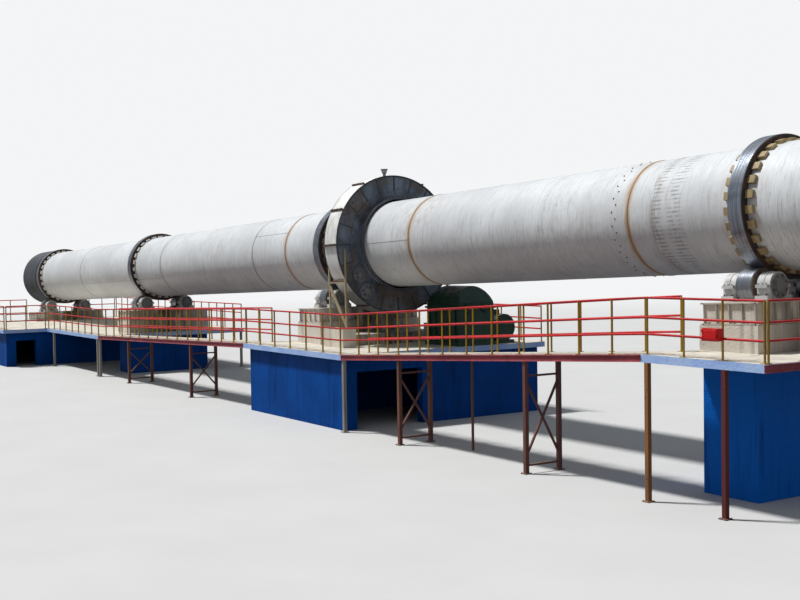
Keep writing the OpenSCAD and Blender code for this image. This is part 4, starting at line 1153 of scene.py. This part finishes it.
def channel(a, b, depth, out):
    """A channel along the line from a to b at its top edge; its lips look along out."""
    a, b, out = Vector(a), Vector(b), Vector(out)
    down = Vector((0, 0, -1))
    outline = [(0, 0), (LIP, 0), (LIP, LIP_T), (LIP_T, LIP_T), (LIP_T, depth - LIP_T), (LIP, depth - LIP_T),
               (LIP, depth), (0, depth)]
    points = [tuple(end + out * (x - BEHIND) + down * z) for end in (a, b) for x, z in outline]
    count = len(outline)
    faces = [(i, (i + 1) % count, count + (i + 1) % count, count + i) for i in range(count)]
    return points, faces + [list(range(count)), list(range(count, 2 * count))]


channels = []
for node in ("walkway_12", "walkway_23"):
    low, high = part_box(node)
    corners = [vertex.co for vertex in frame["nodes"][node].data.vertices]
    lower = [p.z for p in corners if p.x < (low.x + high.x) / 2]
    upper = [p.z for p in corners if p.x >= (low.x + high.x) / 2]
    depth = max(lower) - min(lower) - 0.002
    for y, out in ((low.y, (0, -1, 0)), (high.y, (0, 1, 0))):
        start, end = (low.x, y, max(lower) - DROP), (high.x, y, max(upper) - DROP)
        channels.append(channel(start, end, depth, out))
low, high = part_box("deck_1")
level = high.z - 0.006
channels.append(channel((high.x, low.y, level), (high.x, high.y, level), level - low.z, (1, 0, 0)))
make_piece("channels of the walkways", channels, "channel", "structure", WORLD)

post_feet = [p for p in feet("walkway_posts", POST_W) if p.z < 0.01]
plates = [foot_plate("post_paint", p, 0.0, FOOT_T, 0.038) for p in post_feet]
make_piece("foot plates of the posts", plates, "post", "structure", WORLD, soften=0.001)
print("posts on the ground", [(round(p.x, 2), round(p.y, 2)) for p in post_feet])

# %% [markdown]
# ## The reducer
# The reducer is a cast casing split at shaft height, stiffened by ribs and closed by bolted bearing caps on
# its ends. Its sizes are read from the model's piece, so the added ribs always sit on the casing.

# %% Casing flanges, ribs, caps and bolts of the reducer
REDUCER_FOOT = 0.03
PAD_T = 0.05
SPLIT_T = 0.016
RIBS = 5
RIB_HALF = 0.008
RIB_OUT = 0.026
SPLIT_BOLTS = 9
PAD_BOLTS = 6
CAP_BOLTS = 8
low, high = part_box("gear_reducer")
case_low = Vector((low.x + REDUCER_FOOT, low.y + REDUCER_FOOT, low.z + PAD_T))
case_high = Vector((high.x - REDUCER_FOOT, high.y - REDUCER_FOOT, high.z))
case = case_high - case_low
crown = case.y / 2
split_z = case_high.z - crown
mid_y = (case_low.y + case_high.y) / 2
sides = ((case_low.y, -1), (case_high.y, 1))
drive = [plate((case_low.x - 0.022, case_low.y - 0.03, split_z - SPLIT_T),
               (case_high.x + 0.022, case_high.y + 0.03, split_z + SPLIT_T))]
for k in range(RIBS):
    x = case_low.x + case.x * (k + 0.5) / RIBS
    for y, out in sides:
        drive.append(plate((x - RIB_HALF, y - out * 0.01, low.z + 0.045),
                           (x + RIB_HALF, y + out * RIB_OUT, split_z)))
for k in range(SPLIT_BOLTS):
    x = case_low.x + case.x * (k + 0.5) / SPLIT_BOLTS
    for y, out in sides:
        bolt_at("drive_paint", (x, y + out * 0.016, split_z + SPLIT_T), UP, 0.016, WORLD, look="drive")
for k in range(PAD_BOLTS):
    y = case_low.y + case.y * (k + 0.5) / PAD_BOLTS
    for x in (low.x + 0.015, high.x - 0.015):
        bolt_at("drive_paint", (x, y, low.z + PAD_T), UP, 0.018, WORLD, look="drive")
make_piece("casing flanges and ribs of the reducer", drive, "drive", "structure", WORLD, 0.002)

caps = []
for x, out in ((case_low.x, -1), (case_high.x, 1)):
    for y, radius in ((mid_y - crown * 0.42, 0.092), (mid_y + crown * 0.48, 0.080)):
        face = x + out * 0.030
        profile = [(x - out * 0.01, radius), (x + out * 0.026, radius), (face, radius - 0.006),
                   (face, radius * 0.62), (x + out * 0.040, radius * 0.55)]
        caps.append(lathe(profile, 40, (y, split_z), closed=False))
        bolt_ring("drive_paint", face, (y, split_z), radius * 0.82, CAP_BOLTS, out, 0.014, 0.5, WORLD,
                  "drive")
make_piece("bearing caps of the reducer", caps, "drive", "structure", WORLD)

# %% [markdown]
# ## The motor
# The motor has cooling fins along its body, a fan cowl with rings over its air inlet, an end shield and a
# terminal box. One fin is made at the top and turned to all its places; the foot's side stays free.

# %% Fins, cowl and terminal box of the motor
FINS = 36
FOOT_ANGLE = 0.55
FIN_HALF = 0.003
FIN_UP = 0.014
COWL_L = 0.13
COWL_UP = 0.012
BOX_HALF = 0.09
low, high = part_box("drive_motor")
motor_r = (high.y - low.y) / 2
centre = ((low.y + high.y) / 2, high.z - motor_r)
fin = plate((low.x + COWL_L + 0.01, -FIN_HALF, motor_r - 0.006),
            (high.x - 0.05, FIN_HALF, motor_r + FIN_UP))
fins = [turned(fin, angle, centre) for angle in round_angles(FINS) if abs(math.pi - angle) >= FOOT_ANGLE]
fins.append(ring(low.x, low.x + COWL_L, motor_r - 0.004, motor_r + COWL_UP, 64, centre))
for k in range(4):
    radius = motor_r * (0.25 + 0.2 * k)
    fins.append(ring(low.x - 0.006, low.x + 0.002, radius, radius + 0.012, 48, centre))
fins.append(ring(high.x - 0.03, high.x + 0.004, motor_r - 0.03, motor_r + COWL_UP, 64, centre))
fins.append(plate((low.x + 0.22, centre[0] - BOX_HALF, high.z - 0.02),
                  (low.x + 0.40, centre[0] + BOX_HALF, high.z + 0.075)))
make_piece("fins and cowl of the motor", fins, "drive", "structure", WORLD)

# %% [markdown]
# ## Last details
# The vent on the guard has a rolled rim and two bands. They are rings stood upright: what ran along the kiln
# now runs up from it. The red box has a door with a raised panel, hinges and a latch. The frame beside the
# guard stands on foot plates.

# %% Vent rims, the door of the box and the frame's feet
vent = kiln_points("guard_vent")
vent_s = float(vent[:, 0].mean())
vent_top = float(vent[:, 2].max())
vent_r = float(np.abs(vent[:, 1]).max())
VENT_RIMS = ((vent_top - 0.004, vent_r + 0.004), (GUARD_OUT + 0.066, 0.039), (GUARD_OUT + 0.006, 0.048))
rims = []
for level, radius in VENT_RIMS:
    points, faces = ring(level - 0.006, level + 0.006, radius - 0.010, radius, 32)
    rims.append(([(vent_s + z, y, s) for s, y, z in points], faces))
make_piece("rims of the vent", rims, "vent", "structure")

low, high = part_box("hose_box")
latch_z = (low.z + high.z) / 2
door = [plate((high.x - 0.018, low.y - 0.014, latch_z - 0.014),
              (high.x - 0.006, low.y - 0.004, latch_z + 0.014))]
for edge, front, back in ((0.008, -0.005, 0.002), (0.022, -0.008, -0.003)):
    door.append(plate((low.x + edge, low.y + front, low.z + edge),
                      (high.x - edge, low.y + back, high.z - edge)))
for share in (0.22, 0.78):
    z = low.z + share * (high.z - low.z)
    door.append(plate((low.x - 0.003, low.y - 0.009, z - 0.012), (low.x + 0.016, low.y - 0.003, z + 0.012)))
make_piece("door of the red box", door, "box", "structure", WORLD, soften=0.001)

FRAME_POST = 0.030
frame_feet = [foot_plate("frame_paint", p, p.z, 0.010, 0.037) for p in feet("guard_frame", FRAME_POST)]
make_piece("foot plates of the guard frame", frame_feet, "frame", "structure", WORLD,
           soften=0.001)

# %% [markdown]
# ## All the bolts
# Now every noted bolt is grown, one mesh for each body and finish. The attributes are written on the loose
# points before the tree reads them.

# %% Grow all the bolts
for (body, slot_name, look), marks in bolt_marks.items():
    mesh = bpy.data.meshes.new("marks")
    mesh.from_pydata([mark[0] for mark in marks], [], [])
    aims = mesh.attributes.new("aim", "FLOAT_VECTOR", "POINT")
    aims.data.foreach_set("vector", [value for mark in marks for value in mark[1]])
    widths = mesh.attributes.new("width", "FLOAT", "POINT")
    widths.data.foreach_set("value", [mark[2] for mark in marks])
    name = f"bolts of the {slot_name.split('_')[0]} on the {body}"
    grown(name, mesh, bolt_tree, {"Steel": looks[look]}, body)
    print(slot_name, len(marks), "bolts")
